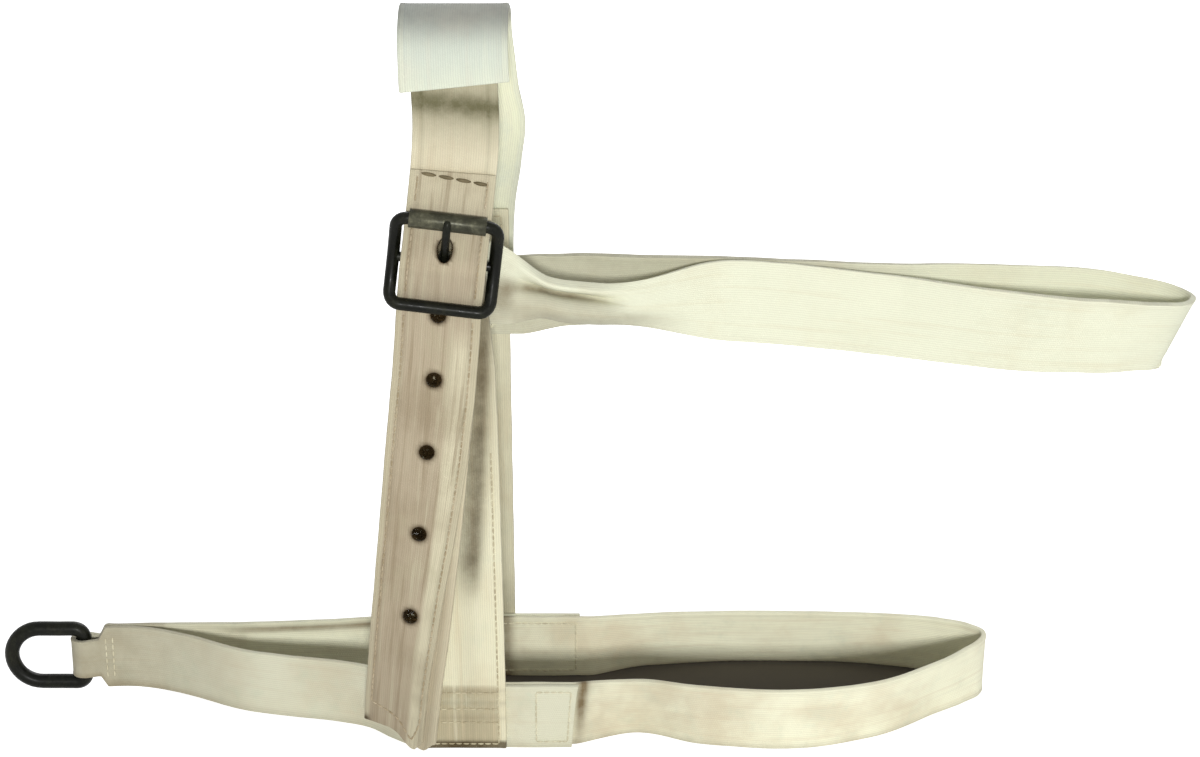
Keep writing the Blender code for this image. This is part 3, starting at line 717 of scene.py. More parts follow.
def wear_group() -> bpy.types.NodeTree:
    """Edge wear and handling on iron: bright where corners rub, brown where it is thin.

    Returns:
        The group.
    """
    group, nodes, given, out = new_group(
        "iron wear",
        {"Place": (0.0, 0.0, 0.0), "Coat colour": (0.02, 0.02, 0.02, 1.0),
         "Bare colour": (0.2, 0.18, 0.15, 1.0), "Rust colour": (0.15, 0.08, 0.04, 1.0),
         "Worn": 0.3}, ("Colour", "Roughness", "Height", "Metallic"))
    edges = nodes.add("NewGeometry").outputs["Pointiness"]
    scratches = nodes.noise(given["Place"], 420.0, 6.0, 0.7)
    patches = nodes.noise(given["Place"], 120.0, 5.0, 0.6)
    rubbed = nodes.math("ADD", nodes.ramp(edges, 0.5, 0.56, 0.0, 0.6),
                        nodes.ramp(scratches, 0.45, 0.75, 0.0, 0.7))
    worn = nodes.math("MULTIPLY", nodes.math("MULTIPLY", rubbed, given["Worn"]),
                      nodes.ramp(patches, 0.35, 0.65, 0.3, 1.6))
    rust = nodes.math("MULTIPLY", nodes.ramp(patches, 0.52, 0.7),
                      nodes.math("MULTIPLY", given["Worn"], 0.9))
    colour = nodes.mix(rust, given["Coat colour"], given["Rust colour"])
    colour = nodes.mix(nodes.math("MINIMUM", worn, 1.0), colour, given["Bare colour"])
    fine = nodes.math("MULTIPLY", scratches, 0.3)
    nodes.feed(colour, out["Colour"])
    nodes.feed(nodes.ramp(scratches, 0.3, 0.7, 0.24, 0.52), out["Roughness"])
    nodes.feed(nodes.math("MULTIPLY_ADD", patches, 0.7, fine), out["Height"])
    nodes.feed(nodes.math("MINIMUM", nodes.math("MULTIPLY", worn, 0.9), 1.0), out["Metallic"])
    return group


@dataclass(frozen=True)
class Finish:
    """A finish, whose material is built once, the first time that a piece asks for it."""

    name: str

    def material(self) -> bpy.types.Material:
        """Find the finish's material, or build it.

        Returns:
            The material.
        """
        made = bpy.data.materials.get(self.name)
        if not made:
            made = bpy.data.materials.new(self.name)
            made.use_nodes = True
            nodes = Nodes(made.node_tree)
            nodes.fill(made.node_tree.nodes["Principled BSDF"], self.look(nodes))
        return made

    def look(self, nodes: Nodes) -> dict[str, object]:
        """What feeds the shader's inputs, by their names."""
        raise NotImplementedError


@dataclass(frozen=True)
class WebFinish(Finish):
    """Bleached or tan cotton web: its slot, its colours and how strongly they mix."""

    slot: str
    half_width: float
    clean: Tone
    warm: Tone
    cool: Tone
    edge: Tone
    tint: Tone
    # Colour of the soil, and of the painted shade that the soil share carries.
    soil: Tone
    mottle: float
    streaks: float
    edge_share: float = 0.25

    def look(self, nodes: Nodes) -> dict[str, object]:
        """Weave on the web's own map, over the mixed and soiled colours.

        Args:
            nodes: The helper of the material's tree.

        Returns:
            A socket or a plain value for each of the shader's inputs.
        """
        web_map = nodes.add("UVMap", uv_map="web").outputs[0]
        place = nodes.add("TexCoord").outputs["Object"]
        weave = nodes.group("weave", {"Map": web_map, "Half width": self.half_width})
        painted = {label: nodes.add("Attribute", attribute_name=label.lower()).outputs["Fac"]
                   for label in ("Soil", "Tint")}
        cotton = nodes.group("soil", {
            "Place": place, "Map": web_map, "Clean": tone(*self.clean),
            "Warm": tone(*self.warm), "Cool": tone(*self.cool),
            "Edge colour": tone(*self.edge), "Tint colour": tone(*self.tint),
            "Soil colour": tone(*self.soil), "Mottle": self.mottle, "Streaks": self.streaks,
            "Edge": self.edge_share, "Hollow shade": weave["Hollow shade"],
            "Selvedge": weave["Selvedge"], **painted})
        fuzz = nodes.noise(place, 2600.0, 2.0)
        height = nodes.math("MULTIPLY_ADD", fuzz, 0.25, weave["Height"])
        return {"Sheen Weight": 0.12, "Sheen Roughness": 0.6, "Specular IOR Level": 0.18,
                "Base Color": cotton["Colour"], "Roughness": cotton["Roughness"],
                "Normal": nodes.relief(height, 0.4, 0.25 * MM)}


@dataclass(frozen=True)
class ThreadFinish(Finish):
    """Twisted cotton or waxed thread."""

    light: Tone
    dark: Tone
    shine: float = 0.25

    def look(self, nodes: Nodes) -> dict[str, object]:
        """Twisted strands of two colours.

        Args:
            nodes: The helper of the material's tree.

        Returns:
            A socket or a plain value for each of the shader's inputs.
        """
        place = nodes.add("TexCoord").outputs["Object"]
        strands = nodes.add("TexWave", {"Vector": place, "Scale": 900.0, "Distortion": 1.5},
                            wave_type="BANDS", bands_direction="DIAGONAL").outputs["Fac"]
        tinted = nodes.ramp(nodes.noise(place, 140.0), 0.3, 0.7)
        return {"Specular IOR Level": self.shine,
                "Base Color": nodes.mix(tinted, tone(*self.light), tone(*self.dark)),
                "Roughness": nodes.ramp(strands, 0.0, 1.0, 0.55, 0.8),
                "Normal": nodes.relief(strands, 0.4, 0.1 * MM)}


@dataclass(frozen=True)
class IronFinish(Finish):
    """Japanned malleable iron."""

    coat: Tone
    bare: Tone
    rust: Tone
    worn: float
    gloss: float

    def look(self, nodes: Nodes) -> dict[str, object]:
        """A thin glossy coat over worn and rusted iron.

        Args:
            nodes: The helper of the material's tree.

        Returns:
            A socket or a plain value for each of the shader's inputs.
        """
        wear = nodes.group("wear", {
            "Place": nodes.add("TexCoord").outputs["Object"], "Coat colour": tone(*self.coat),
            "Bare colour": tone(*self.bare), "Rust colour": tone(*self.rust),
            "Worn": self.worn})
        return {"Coat Weight": self.gloss, "Coat Roughness": 0.22, "Specular IOR Level": 0.11,
                "Base Color": wear["Colour"], "Roughness": wear["Roughness"],
                "Metallic": wear["Metallic"],
                "Normal": nodes.relief(wear["Height"], 0.35, 0.2 * MM)}


GROUPS = {"weave": weave_group(), "soil": soil_group(), "wear": wear_group()}

NOSE_HALF = SIZES.nose_width / 2.0
STRAP_HALF = SIZES.strap_width / 2.0
CREAM_WARM = (216, 202, 168)
CREAM_COOL = (214, 218, 192)
# These soil colours paint both soil and painted shade.
OLD_SOIL_AND_SHADE = (120, 104, 76)
DARK_SOIL_AND_SHADE = (80, 68, 44)
KHAKI = (186, 176, 146)
LINEN = WebFinish("bleached cheek web", "linen_web", STRAP_HALF, clean=(232, 228, 198),
                  warm=CREAM_WARM, cool=CREAM_COOL, edge=(236, 232, 204), tint=KHAKI,
                  soil=DARK_SOIL_AND_SHADE, mottle=0.45, streaks=0.4)
LINEN_BROW = WebFinish("bleached brow web", "linen_web", STRAP_HALF, clean=(236, 238, 213),
                       warm=CREAM_WARM, cool=CREAM_COOL, edge=(232, 231, 207), tint=KHAKI,
                       soil=OLD_SOIL_AND_SHADE, mottle=0.25, streaks=0.15)
LINEN_NOSE = WebFinish("bleached nose web", "linen_web", NOSE_HALF, clean=(250, 249, 221),
                       warm=(220, 205, 174), cool=(216, 222, 198), edge=(230, 228, 202),
                       tint=KHAKI, soil=OLD_SOIL_AND_SHADE, mottle=0.6, streaks=0.25)
# The chin web's darker colour is painted shade on its near run; its pale tint is painted light
# on the far run.
LINEN_CHIN = WebFinish("chin web with painted shade and light", "linen_web", NOSE_HALF, clean=(221, 220, 196),
                       warm=(206, 196, 168), cool=(200, 208, 184), edge=(214, 213, 188),
                       tint=(240, 240, 213), soil=OLD_SOIL_AND_SHADE, mottle=0.6, streaks=0.25)
BEIGE = WebFinish("billet back web", "linen_web", STRAP_HALF, clean=(224, 216, 188),
                  warm=(204, 190, 160), cool=(214, 210, 180), edge=(228, 222, 192),
                  tint=(194, 182, 156), soil=(108, 104, 76), mottle=0.5, streaks=0.3)
TAN = WebFinish("billet face web", "tan_web", STRAP_HALF, clean=(184, 170, 145),
                warm=(152, 136, 110), cool=(188, 182, 150), edge=(200, 193, 164),
                tint=(222, 215, 185), soil=(70, 56, 33), mottle=0.45, streaks=0.6,
                edge_share=0.6)
# Its tint colour is painted light on the far run and near end; its grey soil colour is painted
# shade over the poll.
CROWN = WebFinish("crown web", "crown_web", SIZES.crown_width / 2.0, clean=(216, 223, 208),
                  warm=(224, 218, 198), cool=(208, 219, 206), edge=(238, 242, 218),
                  tint=(246, 248, 216), soil=(104, 104, 108), mottle=0.5, streaks=0.2,
                  edge_share=0.5)
PALE_THREAD = ThreadFinish("pale thread", (240, 237, 210), (216, 208, 178))
TAN_THREAD = ThreadFinish("tan thread", (194, 180, 152), (158, 142, 112))
DARK_THREAD = ThreadFinish("waxed thread", (128, 116, 88), (92, 82, 58))
CHEEK_THREAD = ThreadFinish("cheek thread", (212, 204, 174), (172, 160, 130))
CHIN_THREAD = ThreadFinish("chin thread", (224, 219, 192), (198, 190, 162))
# Near-black yarn whose colour paints the shade inside the billet's holes.
HOLE_SHADE_YARN = ThreadFinish("hole shade yarn", (62, 48, 26), (34, 25, 12), 0.06)
JAPAN = IronFinish("japanned iron", (9, 10, 6), (66, 68, 54), (34, 29, 20), 0.22, 0.02)
WORN_IRON = IronFinish("worn roller iron", (42, 42, 32), (104, 103, 85), (46, 40, 28), 0.5,
                       0.04)


# Webs

@dataclass
class Strap:
    """One length of web: laid along its route, given its thickness and rounded.

    It can be drawn in or creased along its way, and its end cut to a shape. Soil with painted
    shade, and tint with painted light, colour it.
    """

    name: str
    route: Route
    width: float
    thick: float
    finish: WebFinish
    columns: int
    soil_and_shade: Look
    tint_and_light: Optional[Look] = None
    drawn_in: Optional[Callable[[Vector], float]] = None
    crease: Optional[Crease] = None
    end_cut: Optional[Callable[[float], float]] = None
    cut_reach: float = 20.0 * MM
    row_length: float = 1.6 * MM
    bead_full: float = 1.8 * MM
    bead_end: float = 3.2 * MM
    flat_share: float = 0.84

    def surface(self, distance: float, place: float,
                lift: float = 0.0) -> tuple[Vector, Vector, Vector]:
        """A place of the web in the halter.

        Args:
            distance: How far along the web.
            place: How far across it, from its middle.
            lift: How far off its middle plane, outward.

        Returns:
            The point, the direction along the web and its outward normal.
        """
        distance = min(max(distance, 0.0), self.route.length)
        point, tangent, width, normal = self.route.spot(distance)
        share = self.drawn_in(point) if self.drawn_in else 1.0
        wander = noise.noise(Vector((distance * 70.0, 3.0, math.copysign(2.0, place))))
        aside = place * (share + 0.018 * wander * abs(place) / self.width)
        proud = 0.0
        if self.crease:
            aside, proud = self.crease(point, aside)
        spot = point + width * aside + normal * (proud + lift)
        if self.end_cut:
            fade = max(0.0, 1.0 - (self.route.length - distance) / self.cut_reach)
            spot -= tangent * self.end_cut(place) * fade
        return spot + ripple(spot), tangent, normal

    def build(self) -> bpy.types.Object:
        """Lay the web.

        Returns:
            The finished piece, dressed and not yet riding on a body.
        """
        rows = max(4, round(self.route.length / self.row_length))
        piece = primitive(bpy.ops.mesh.primitive_grid_add, self.name, x_subdivisions=rows,
                          y_subdivisions=self.columns, size=1.0)
        mesh = piece.data
        flat = [((vertex.co.x + 0.5) * self.route.length, vertex.co.y * self.width)
                for vertex in mesh.vertices]
        spots = [self.surface(along, place)[0] for along, place in flat]
        mesh.vertices.foreach_set("co", [value for spot in spots for value in spot])
        mesh.uv_layers.active.name = "web"
        mesh.uv_layers.active.data.foreach_set(
            "uv", [value for loop in mesh.loops for value in flat[loop.vertex_index]])
        # The soil attribute carries painted shade too, and the tint attribute painted light.
        for label, look in (("soil", self.soil_and_shade), ("tint", self.tint_and_light)):
            values = mesh.attributes.new(label, "FLOAT", "POINT")
            if look:
                values.data.foreach_set("value", [look(spot, place) for spot, (_, place)
                                                  in zip(spots, flat)])
        body = piece.vertex_groups.new(name="body")
        for index, (_, place) in enumerate(flat):
            bead = fall(self.width / 2.0 - abs(place), self.bead_full, self.bead_end)
            body.add([index], self.flat_share + (1.0 - self.flat_share) * bead, "REPLACE")
        mesh.update()
        solid = piece.modifiers.new("web", "SOLIDIFY")
        solid.thickness = self.thick
        solid.offset = 0.0
        solid.vertex_group = "body"
        apply_modifiers(piece)
        tidy_shell(piece)
        round_edges(piece, self.thick * 0.3, 62.0)
        dress(piece, self.finish.material(), self.finish.slot)
        return piece


@dataclass(frozen=True)
class Seam:
    """A row of stitches on one face of a web, through places given along and across it."""

    places: Sequence[Place]
    face: Face = Face.OUTER
    pitch: float = 3.4 * MM


@dataclass
class Stitching:
    """All the thread of one web, as one piece."""

    name: str
    strap: Strap
    seams: list[Seam]
    finish: ThreadFinish
    slot: str
    thread: float = 0.42 * MM
    half_share: float = 0.40
    lift_share: float = 0.44
    flatness: float = 0.85
    sag: float = 0.55

    def build(self) -> bpy.types.Object:
        """Sew the rows with flattened beads of thread.

        Returns:
            The thread, dressed and not yet riding on a body.
        """
        ball = primitive(bpy.ops.mesh.primitive_uv_sphere_add, segments=6, ring_count=6,
                         radius=1.0)
        bead = [vertex.co.copy() for vertex in ball.data.vertices]
        faces = [tuple(face.vertices) for face in ball.data.polygons]
        bpy.data.objects.remove(ball, do_unlink=True)
        thread = Gathered()
        for seam in self.seams:
            for first, last in zip(seam.places, seam.places[1:]):
                count = max(1, round(math.dist(first, last) / seam.pitch))
                for index in range(count):
                    share = (index + 0.5) / count
                    thread.add(self.stitch(seam, first, last, share, bead), faces)
        piece = thread.piece(self.name)
        smooth(piece)
        dress(piece, self.finish.material(), self.slot)
        return piece

    def stitch(self, seam: Seam, first: Place, last: Place, share: float,
               bead: list[Vector]) -> list[Vector]:
        """One stitch, pulled down at both ends.

        Args:
            seam: Its row.
            first, last: The two places of the row that it lies between.
            share: How far between them it lies.
            bead: Points of a ball.

        Returns:
            The stitch's points.
        """
        half = seam.pitch * self.half_share
        length = max(math.dist(first, last), half)
        lift = self.strap.thick * self.lift_share * seam.face.value
        ends = []
        for part in (share - half / length, share + half / length):
            distance = first[0] + (last[0] - first[0]) * part
            place = first[1] + (last[1] - first[1]) * part
            ends.append(self.strap.surface(distance, place, lift))
        middle = (ends[0][0] + ends[1][0]) / 2.0
        along = ends[1][0] - ends[0][0]
        reach = along.length / 2.0 + self.thread * 0.4
        along.normalize()
        out = (ends[0][2] + ends[1][2]).normalized() * seam.face.value
        aside = out.cross(along).normalized()
        out = along.cross(aside)
        return [middle + along * (point.z * reach) + aside * (point.x * self.thread)
                + out * ((point.y * self.flatness - self.sag * point.z ** 2 + 0.5)
                         * self.thread)
                for point in bead]


def edge_rows(strap: Strap, start: float, end: float, inset: float,
              face: Face = Face.OUTER) -> list[Seam]:
    """Two rows beside the selvedges.

    Args:
        strap: The web.
        start, end: Where the rows begin and end along it.
        inset: How far from its edges they lie.
        face: Its face that they lie on.

    Returns:
        Both rows.
    """
    place = strap.width / 2.0 - inset
    steps = max(2, round((end - start) / (20.0 * MM)))
    distances = [start + (end - start) * step / steps for step in range(steps + 1)]
    return [Seam([(distance, side * place) for distance in distances], face)
            for side in (-1.0, 1.0)]


def box_rows(start: float, end: float, half: float, face: Face = Face.OUTER,
             crossed: bool = False) -> list[Seam]:
    """A box of stitches.

    Args:
        start, end: Where it begins and ends along the web.
        half: Half its width.
        face: The web's face that it lies on.
        crossed: Sew the cross inside it too.

    Returns:
        Its rows.
    """
    low, high = min(start, end), max(start, end)
    rows = [Seam([(low, -half), (high, -half), (high, half), (low, half), (low, -half)], face)]
    if crossed:
        rows.append(Seam([(low, -half), (high, half)], face))
        rows.append(Seam([(low, half), (high, -half)], face))
    return rows


# The noseband

def standing_height(width: float, lean: float) -> float:
    """Height of a leaning web's middle when its lower edge stands on the floor."""
    lean = math.radians(abs(lean))
    return (width * math.cos(lean) + SIZES.web * math.sin(lean)) / 2.0


@dataclass
class Noseband:
    """The muzzle loop and the chin part that carries the dee.

    The sight run is how far back the camera sees the floor under an edge, for each step that
    the edge is above it.
    """

    muzzle_reach: float = 187.0 * MM
    lap_x: float = -84.0 * MM
    loop_end: float = -200.0 * MM
    neck_rise: float = 4.0 * MM
    row_inset: float = 3.2 * MM
    sight_run: float = 2.7

    def nose_route(self) -> Route:
        """From the near lap round the nose to the far lap.

        Returns:
            The nose web's middle line.
        """
        middle = NOSE_HALF / MM
        rows = lap(-82, -12, SIZES.nose_near_y / MM, middle)
        tip = self.muzzle_reach / MM
        for x, y, lean in ((19, -29, 13), (47, -38, 7), (90, -43, 6), (tip - 55.5, -32, 10),
                           (tip - 24.5, -9, 12), (tip - 9.5, 4, 7), (tip - 1.5, 13, 3),
                           (tip, 20, 0), (tip - 5.5, 28, -4), (tip - 18.5, 36, -9),
                           (tip - 38.5, 42, -13), (118, 46, -16), (62, 47, -16),
                           (24, 43, -12)):
            rows.append((x, y, standing_height(SIZES.nose_width, lean) / MM, lean))
        rows += reversed(lap(-82, -5, SIZES.nose_far_y / MM, middle))
        return Route.through(stations(rows), lambda point: UP)

    def chin_route(self) -> Route:
        """From the far lap along the jaw, round the dee's bar and back to the near lap.

        Returns:
            The chin web's middle line.
        """
        low = NOSE_HALF / MM
        dee_x, dee_y, high = SIZES.dee.x / MM, SIZES.dee.y / MM, SIZES.dee.z / MM
        near = (SIZES.nose_near_y - SIZES.lap_step) / MM
        far = (SIZES.nose_far_y + SIZES.lap_step) / MM
        half = SIZES.lap_step / MM / 2.0
        fold = (SIZES.dee_rod + SIZES.ply_gap + SIZES.web / 2.0) / MM
        sewn = dee_x + 14.0
        rows = lap(-10, -86, far, low)
        rows += [(-104, far - 2.6, low), (-130, 31.6, low + 0.3), (-172, 26.6, low + 1.0),
                 (-200, 24.2, low + 1.8), (-222, dee_y + half + 0.7, high),
                 (sewn, dee_y + half, high)]
        turn, steps = math.radians(72.0), 12
        for step in range(steps + 1):
            angle = turn + (2.0 * math.pi - 2.0 * turn) * step / steps
            rows.append((dee_x + fold * math.cos(angle), dee_y + fold * math.sin(angle), high))
        rows += [(sewn, dee_y - half, high), (-222, dee_y - half - 0.9, high),
                 (-200, 10.4, low + 1.8), (-172, -3.6, low + 1.0), (-150, -9.4, low + 0.6),
                 (-126, -14.0, low + 0.2), (-110, -19.5, low), (-98, -30.5, low)]
        rows += reversed(lap(-10, -86, near, low))
        return Route.through(stations(rows), lambda point: UP)

    def chin_share(self, point: Vector) -> float:
        """How much of its width the chin web keeps where it goes round the dee's bar.

        Args:
            point: Place on the middle line.

        Returns:
            The share of its width there.
        """
        narrow = (SIZES.dee_height - 2.0 * SIZES.dee_rod - 1.8 * MM) / SIZES.nose_width
        start = SIZES.dee.x + SIZES.dee_rod + SIZES.chape + SHIFT.x
        return narrow + (1.0 - narrow) * rise(point.x, start, start + self.neck_rise)

    def straps(self) -> tuple[Strap, Strap]:
        """Both webs, with their routes and looks.

        Returns:
            The nose and the chin web, not yet built.
        """
        nose = Strap("noseband_web", self.nose_route(), SIZES.nose_width, SIZES.web,
                     LINEN_NOSE, 22, self.nose_soil_and_shade)
        chin = Strap("chin_web", self.chin_route(), SIZES.nose_width, SIZES.web, LINEN_CHIN,
                     22, self.chin_soil_and_shade, self.chin_painted_light, drawn_in=self.chin_share,
                     end_cut=self.lap_end, cut_reach=12.0 * MM)
        return nose, chin

    def footprint(self) -> list[Vector]:
        """Where the webs' lower edges stand.

        Returns:
            Places once round both loops, just above the floor.
        """
        # These places outline the painted shade that the studio lays on the floor inside the
        # loops.
        outline = []
        for strap in self.straps():
            for distance in strap.route.run[::2]:
                spot = strap.surface(distance, -strap.width / 2.0)[0]
                if strap.name == "noseband_web" or self.loop_end < spot.x - SHIFT.x < self.lap_x:
                    back_half = distance > strap.route.length / 2.0
                    near = self.sight_run * spot.z if back_half else 0.0
                    outline.append(Vector((spot.x, spot.y + near, 0.05 * MM)))
        return outline

    def build(self) -> None:
        """Lay and sew both webs."""
        nose, chin = self.straps()
        end = chin.route.length
        sewn = chin.route.nearest(Vector((SIZES.dee.x + 12.0 * MM, SIZES.dee.y - 6.0 * MM,
                                          SIZES.dee.z)) + SHIFT)
        half = NOSE_HALF - self.row_inset
        chin_seams = box_rows(end - 3.0 * MM, end - 20.0 * MM, half)
        chin_seams += box_rows(3.0 * MM, 70.0 * MM, half)
        for place in (sewn, sewn + 3.5 * MM):
            chin_seams.append(Seam([(place, -half + 2.0 * MM), (place, half - 2.0 * MM)]))
        end = nose.route.length
        nose_seams = box_rows(3.0 * MM, 64.0 * MM, half, Face.INNER)
        nose_seams += box_rows(end - 3.0 * MM, end - 70.0 * MM, half, Face.INNER)
        for strap, node, seams in ((nose, "nose_strap", nose_seams),
                                   (chin, "chin_strap", chin_seams)):
            piece = strap.build()
            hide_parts(node)
            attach(piece, Body.HALTER.value)
            thread = Stitching(strap.name + "_thread", strap, seams, CHIN_THREAD, "linen_web")
            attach(thread.build(), Body.HALTER.value)

    def lap_end(self, place: float) -> float:
        """The near lap's end, cut a little aslant with a worn lower corner."""
        return 3.4 * MM * (0.5 - place / SIZES.nose_width) ** 0.7

    def nose_soil_and_shade(self, point: Vector, place: float) -> float:
        """Painted shade along the lower edge, a painted shadow beside the near lap's end,
        painted shade deeper toward the left and beside the cheek on the far run, and light soil.

        Args:
            point: Place in the halter.
            place: How far across the web.

        Returns:
            The share of soil.
        """
        x, share = (point.x - SHIFT.x) / MM, place / SIZES.nose_width
        if point.y < 0.0:
            high = 0.35 + 0.65 * rise(share, -0.45, 0.2)
            # Painted shadow beside the near lap's end, and painted shade deeper toward the left.
            painted_shade = high * bump(x - 0.1 * place / MM, -9.5, 2.6) + 0.22 * fall(x, 20.0, 116.0)
        else:
            # Painted shade on the far run's inner face beside the cheek.
            painted_shade = 0.6 * fall(x, -46.0, -40.0) + 0.25 * fall(x, -34.0, 10.0)
        # Painted shade along the lower edge, over light soil.
        return min(1.0, 0.04 + 0.24 * rise(-share, 0.36, 0.5) + 0.85 * painted_shade)

    def chin_soil_and_shade(self, point: Vector, place: float) -> float:
        """Darker toward the dee, painted shade along the near run's lower edge, and a brown line
        of painted shade near the far run's upper edge.

        Args:
            point: Place in the halter.
            place: How far across the web.

        Returns:
            The share of soil.
        """
        x, dee_x = (point.x - SHIFT.x) / MM, SIZES.dee.x / MM
        toward = fall(x, dee_x, dee_x + 105.0)
        if self.chin_painted_light(point, place) < 0.5:
            # Painted shade along the near run's lower edge.
            edge = rise(-place / SIZES.nose_width, 0.34, 0.5)
            return min(1.0, 0.04 + 0.5 * toward + 0.22 * edge)
        # A brown line of painted shade near the far run's upper edge, standing for its shaded
        # top.
        line = bump(place / MM, 12.6, 1.7) * rise(x, -200.0, -160.0)
        return min(1.0, 0.03 + 0.3 * toward + 0.8 * line)

    def chin_painted_light(self, point: Vector, place: float) -> float:
        """Painted light: the far run is paler than the near one."""
        return rise(point.y - SHIFT.y, 21.0 * MM, 25.0 * MM)


# The browband

@dataclass
class Browband:
    """The browband, pinched lengthwise beside the near cheek.

    The four places of the pinch are where it begins, is full, begins to fade and ends. The
    profile gives, evenly from the lower to the upper edge, where each part of the pinched web
    lies across and how far it stands proud, in shares of its width.
    """

    reach: float = 265.5 * MM
    pinch: tuple = (-47.0 * MM, -22.0 * MM, 2.0 * MM, 62.0 * MM)
    fold_end: tuple = (-12.0 * MM, 22.0 * MM)
    pinched_share: float = 0.46
    bulge: float = 0.10
    row_inset: float = 3.5 * MM
    profile: tuple = ((-0.225, -0.060), (-0.150, 0.036), (-0.060, 0.078), (0.020, 0.010),
                      (0.035, -0.125), (0.105, -0.190), (0.150, -0.080), (0.185, -0.012),
                      (0.235, -0.110))

    def route(self) -> Route:
        """Sewn behind the near cheek, out round the brow and back to the far cheek.

        Returns:
            The web's middle line.
        """
        near = (SIZES.bar.y + SIZES.chape + SIZES.cheek + SIZES.ply_gap
                + (SIZES.cheek + SIZES.web) / 2.0 + 2.0 * SIZES.ply_gap) / MM
        far = (SIZES.temple_far_y - (SIZES.cheek + SIZES.web) / 2.0 - SIZES.ply_gap) / MM
        tip = self.reach / MM
        rows = lap(-86, -46, near, 228)
        rows += [(-34, near + 2.4, 223), (-18, near + 6.4, 216.5), (0, -19.5, 213.5),
                 (20, -14, 213, 2), (64, -4.5, 210.5, -6), (128, -4, 204, -5),
                 (180, -12, 199.5, 2), (tip - 40, -15, 197, 12), (tip - 14, -10, 195, 20),
                 (tip - 3, -4, 193.5, 23), (tip, 2, 193.5, 23), (tip - 5, 8, 195, 20),
                 (tip - 22, 13, 197.5, 16), (tip - 40, 15, 200, 12), (180, 9, 204, 8),
                 (128, 4.2, 206.5, 2), (64, 5.4, 210, -8), (20, 8.5, 211.5, -18),
                 (-14, far - 1.6, 210, -14)]
        rows += reversed(lap(-86, -36, far, 207))
        return Route.through(stations(rows), lambda point: UP)

    def crease(self, point: Vector, place: float) -> tuple[float, float]:
        """A roll below, a fold, and a lip above, fading out along the web.

        Args:
            point: Place on the middle line.
            place: How far across the flat web.

        Returns:
            How far across and how far out of the plane that place lies.
        """
        x = point.x - SHIFT.x
        start, full, fade, end = self.pinch
        pinch = rise(x, start, full) * fall(x, fade, end)
        if pinch <= 0.0 or point.y - SHIFT.y > 0.0:
            return place, 0.0
        width = SIZES.strap_width
        fold = fall(x, *self.fold_end)
        spot = (place / width + 0.5) * (len(self.profile) - 1)
        index = min(max(int(spot), 0), len(self.profile) - 2)
        knots = [self.profile[min(max(index + step, 0), len(self.profile) - 1)]
                 for step in (-1, 0, 1, 2)]
        across, proud = (self.curve([knot[axis] for knot in knots], spot - index)
                         for axis in (0, 1))
        across = across * fold + place / width * self.pinched_share * (1.0 - fold)
        proud = proud * fold + self.bulge * math.cos(math.pi * place / width) * (1.0 - fold)
        return place + (across * width - place) * pinch, proud * width * pinch

    @staticmethod
    def curve(values: Sequence[float], share: float) -> float:
        """Catmull-Rom value a share of the way from the second to the third of four.

        Args:
            values: The four.
            share: How far between.

        Returns:
            The value there.
        """
        before, here, after, beyond = values
        slope_here, slope_after = (after - before) / 2.0, (beyond - here) / 2.0
        squared, cubed = share * share, share ** 3
        return (here * (2.0 * cubed - 3.0 * squared + 1.0)
                + slope_here * (cubed - 2.0 * squared + share)
                + after * (3.0 * squared - 2.0 * cubed) + slope_after * (cubed - squared))

    def soil(self, point: Vector, place: float) -> float:
        """Painted shade in the pinch beside the cheek, most in the fold and on the roll below
        it, on the far run's inner face and behind the prong's hole; a darker patch beside the
        cheek.

        Args:
            point: Place in the halter.
            place: How far across the web.

        Returns:
            The share of soil.
        """
        x, share = (point.x - SHIFT.x) / MM, place / SIZES.strap_width
        if point.y > SHIFT.y:
            # Painted shade on the far run's inner face, deeper toward the cheek.
            return 0.12 + 0.3 * fall(x, 60.0, 170.0)
        # Painted shade in the fold of the pinch.
        fold = bump(share, -0.01, 0.11) * rise(x, -50.0, -30.0) * fall(x, -16.0, 18.0)
        # Painted shade on the lower part of the roll.
        under = rise(-share, 0.05, 0.3) * fall(x, 0.0, 50.0)
        patch = bump(share, -0.1, 0.18) * fall(x, -43.0, -36.0)
        # Painted shade behind the prong's hole, where this web shows through it.
        iron = bump(x, SIZES.bar.x / MM, 7.0) * rise(share, 0.1, 0.3)
        return min(1.0, 0.03 + 0.8 * fold + 0.42 * under + 0.6 * patch + 0.97 * iron)

    def build(self) -> None:
        """Lay and sew the web."""
        strap = Strap("brow_web", self.route(), SIZES.strap_width, SIZES.web, LINEN_BROW, 36,
                      self.soil, crease=self.crease)
        piece = strap.build()
        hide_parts("brow_strap")
        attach(piece, Body.HALTER.value)
        inset, end = self.row_inset, strap.route.length
        half = STRAP_HALF - inset
        seams = box_rows(inset, 34.0 * MM, half, Face.INNER, crossed=True)
        seams += box_rows(end - inset, end - 36.0 * MM, half, Face.INNER, crossed=True)
        thread = Stitching("brow_thread", strap, seams, PALE_THREAD, "linen_web")
        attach(thread.build(), Body.HALTER.value)


# The crown, the billet and the cheeks

def arc(centre: Place, radius: float, start: float, end: float, steps: int) -> list[Place]:
    """Points on an arc, both ends included.

    Args:
        centre, radius: The circle.
        start, end: Angles of the ends.
        steps: How many steps lie between them.

    Returns:
        The points.
    """
    angles = [start + (end - start) * step / steps for step in range(steps + 1)]
    return [(centre[0] + radius * math.cos(angle), centre[1] + radius * math.sin(angle))
            for angle in angles]


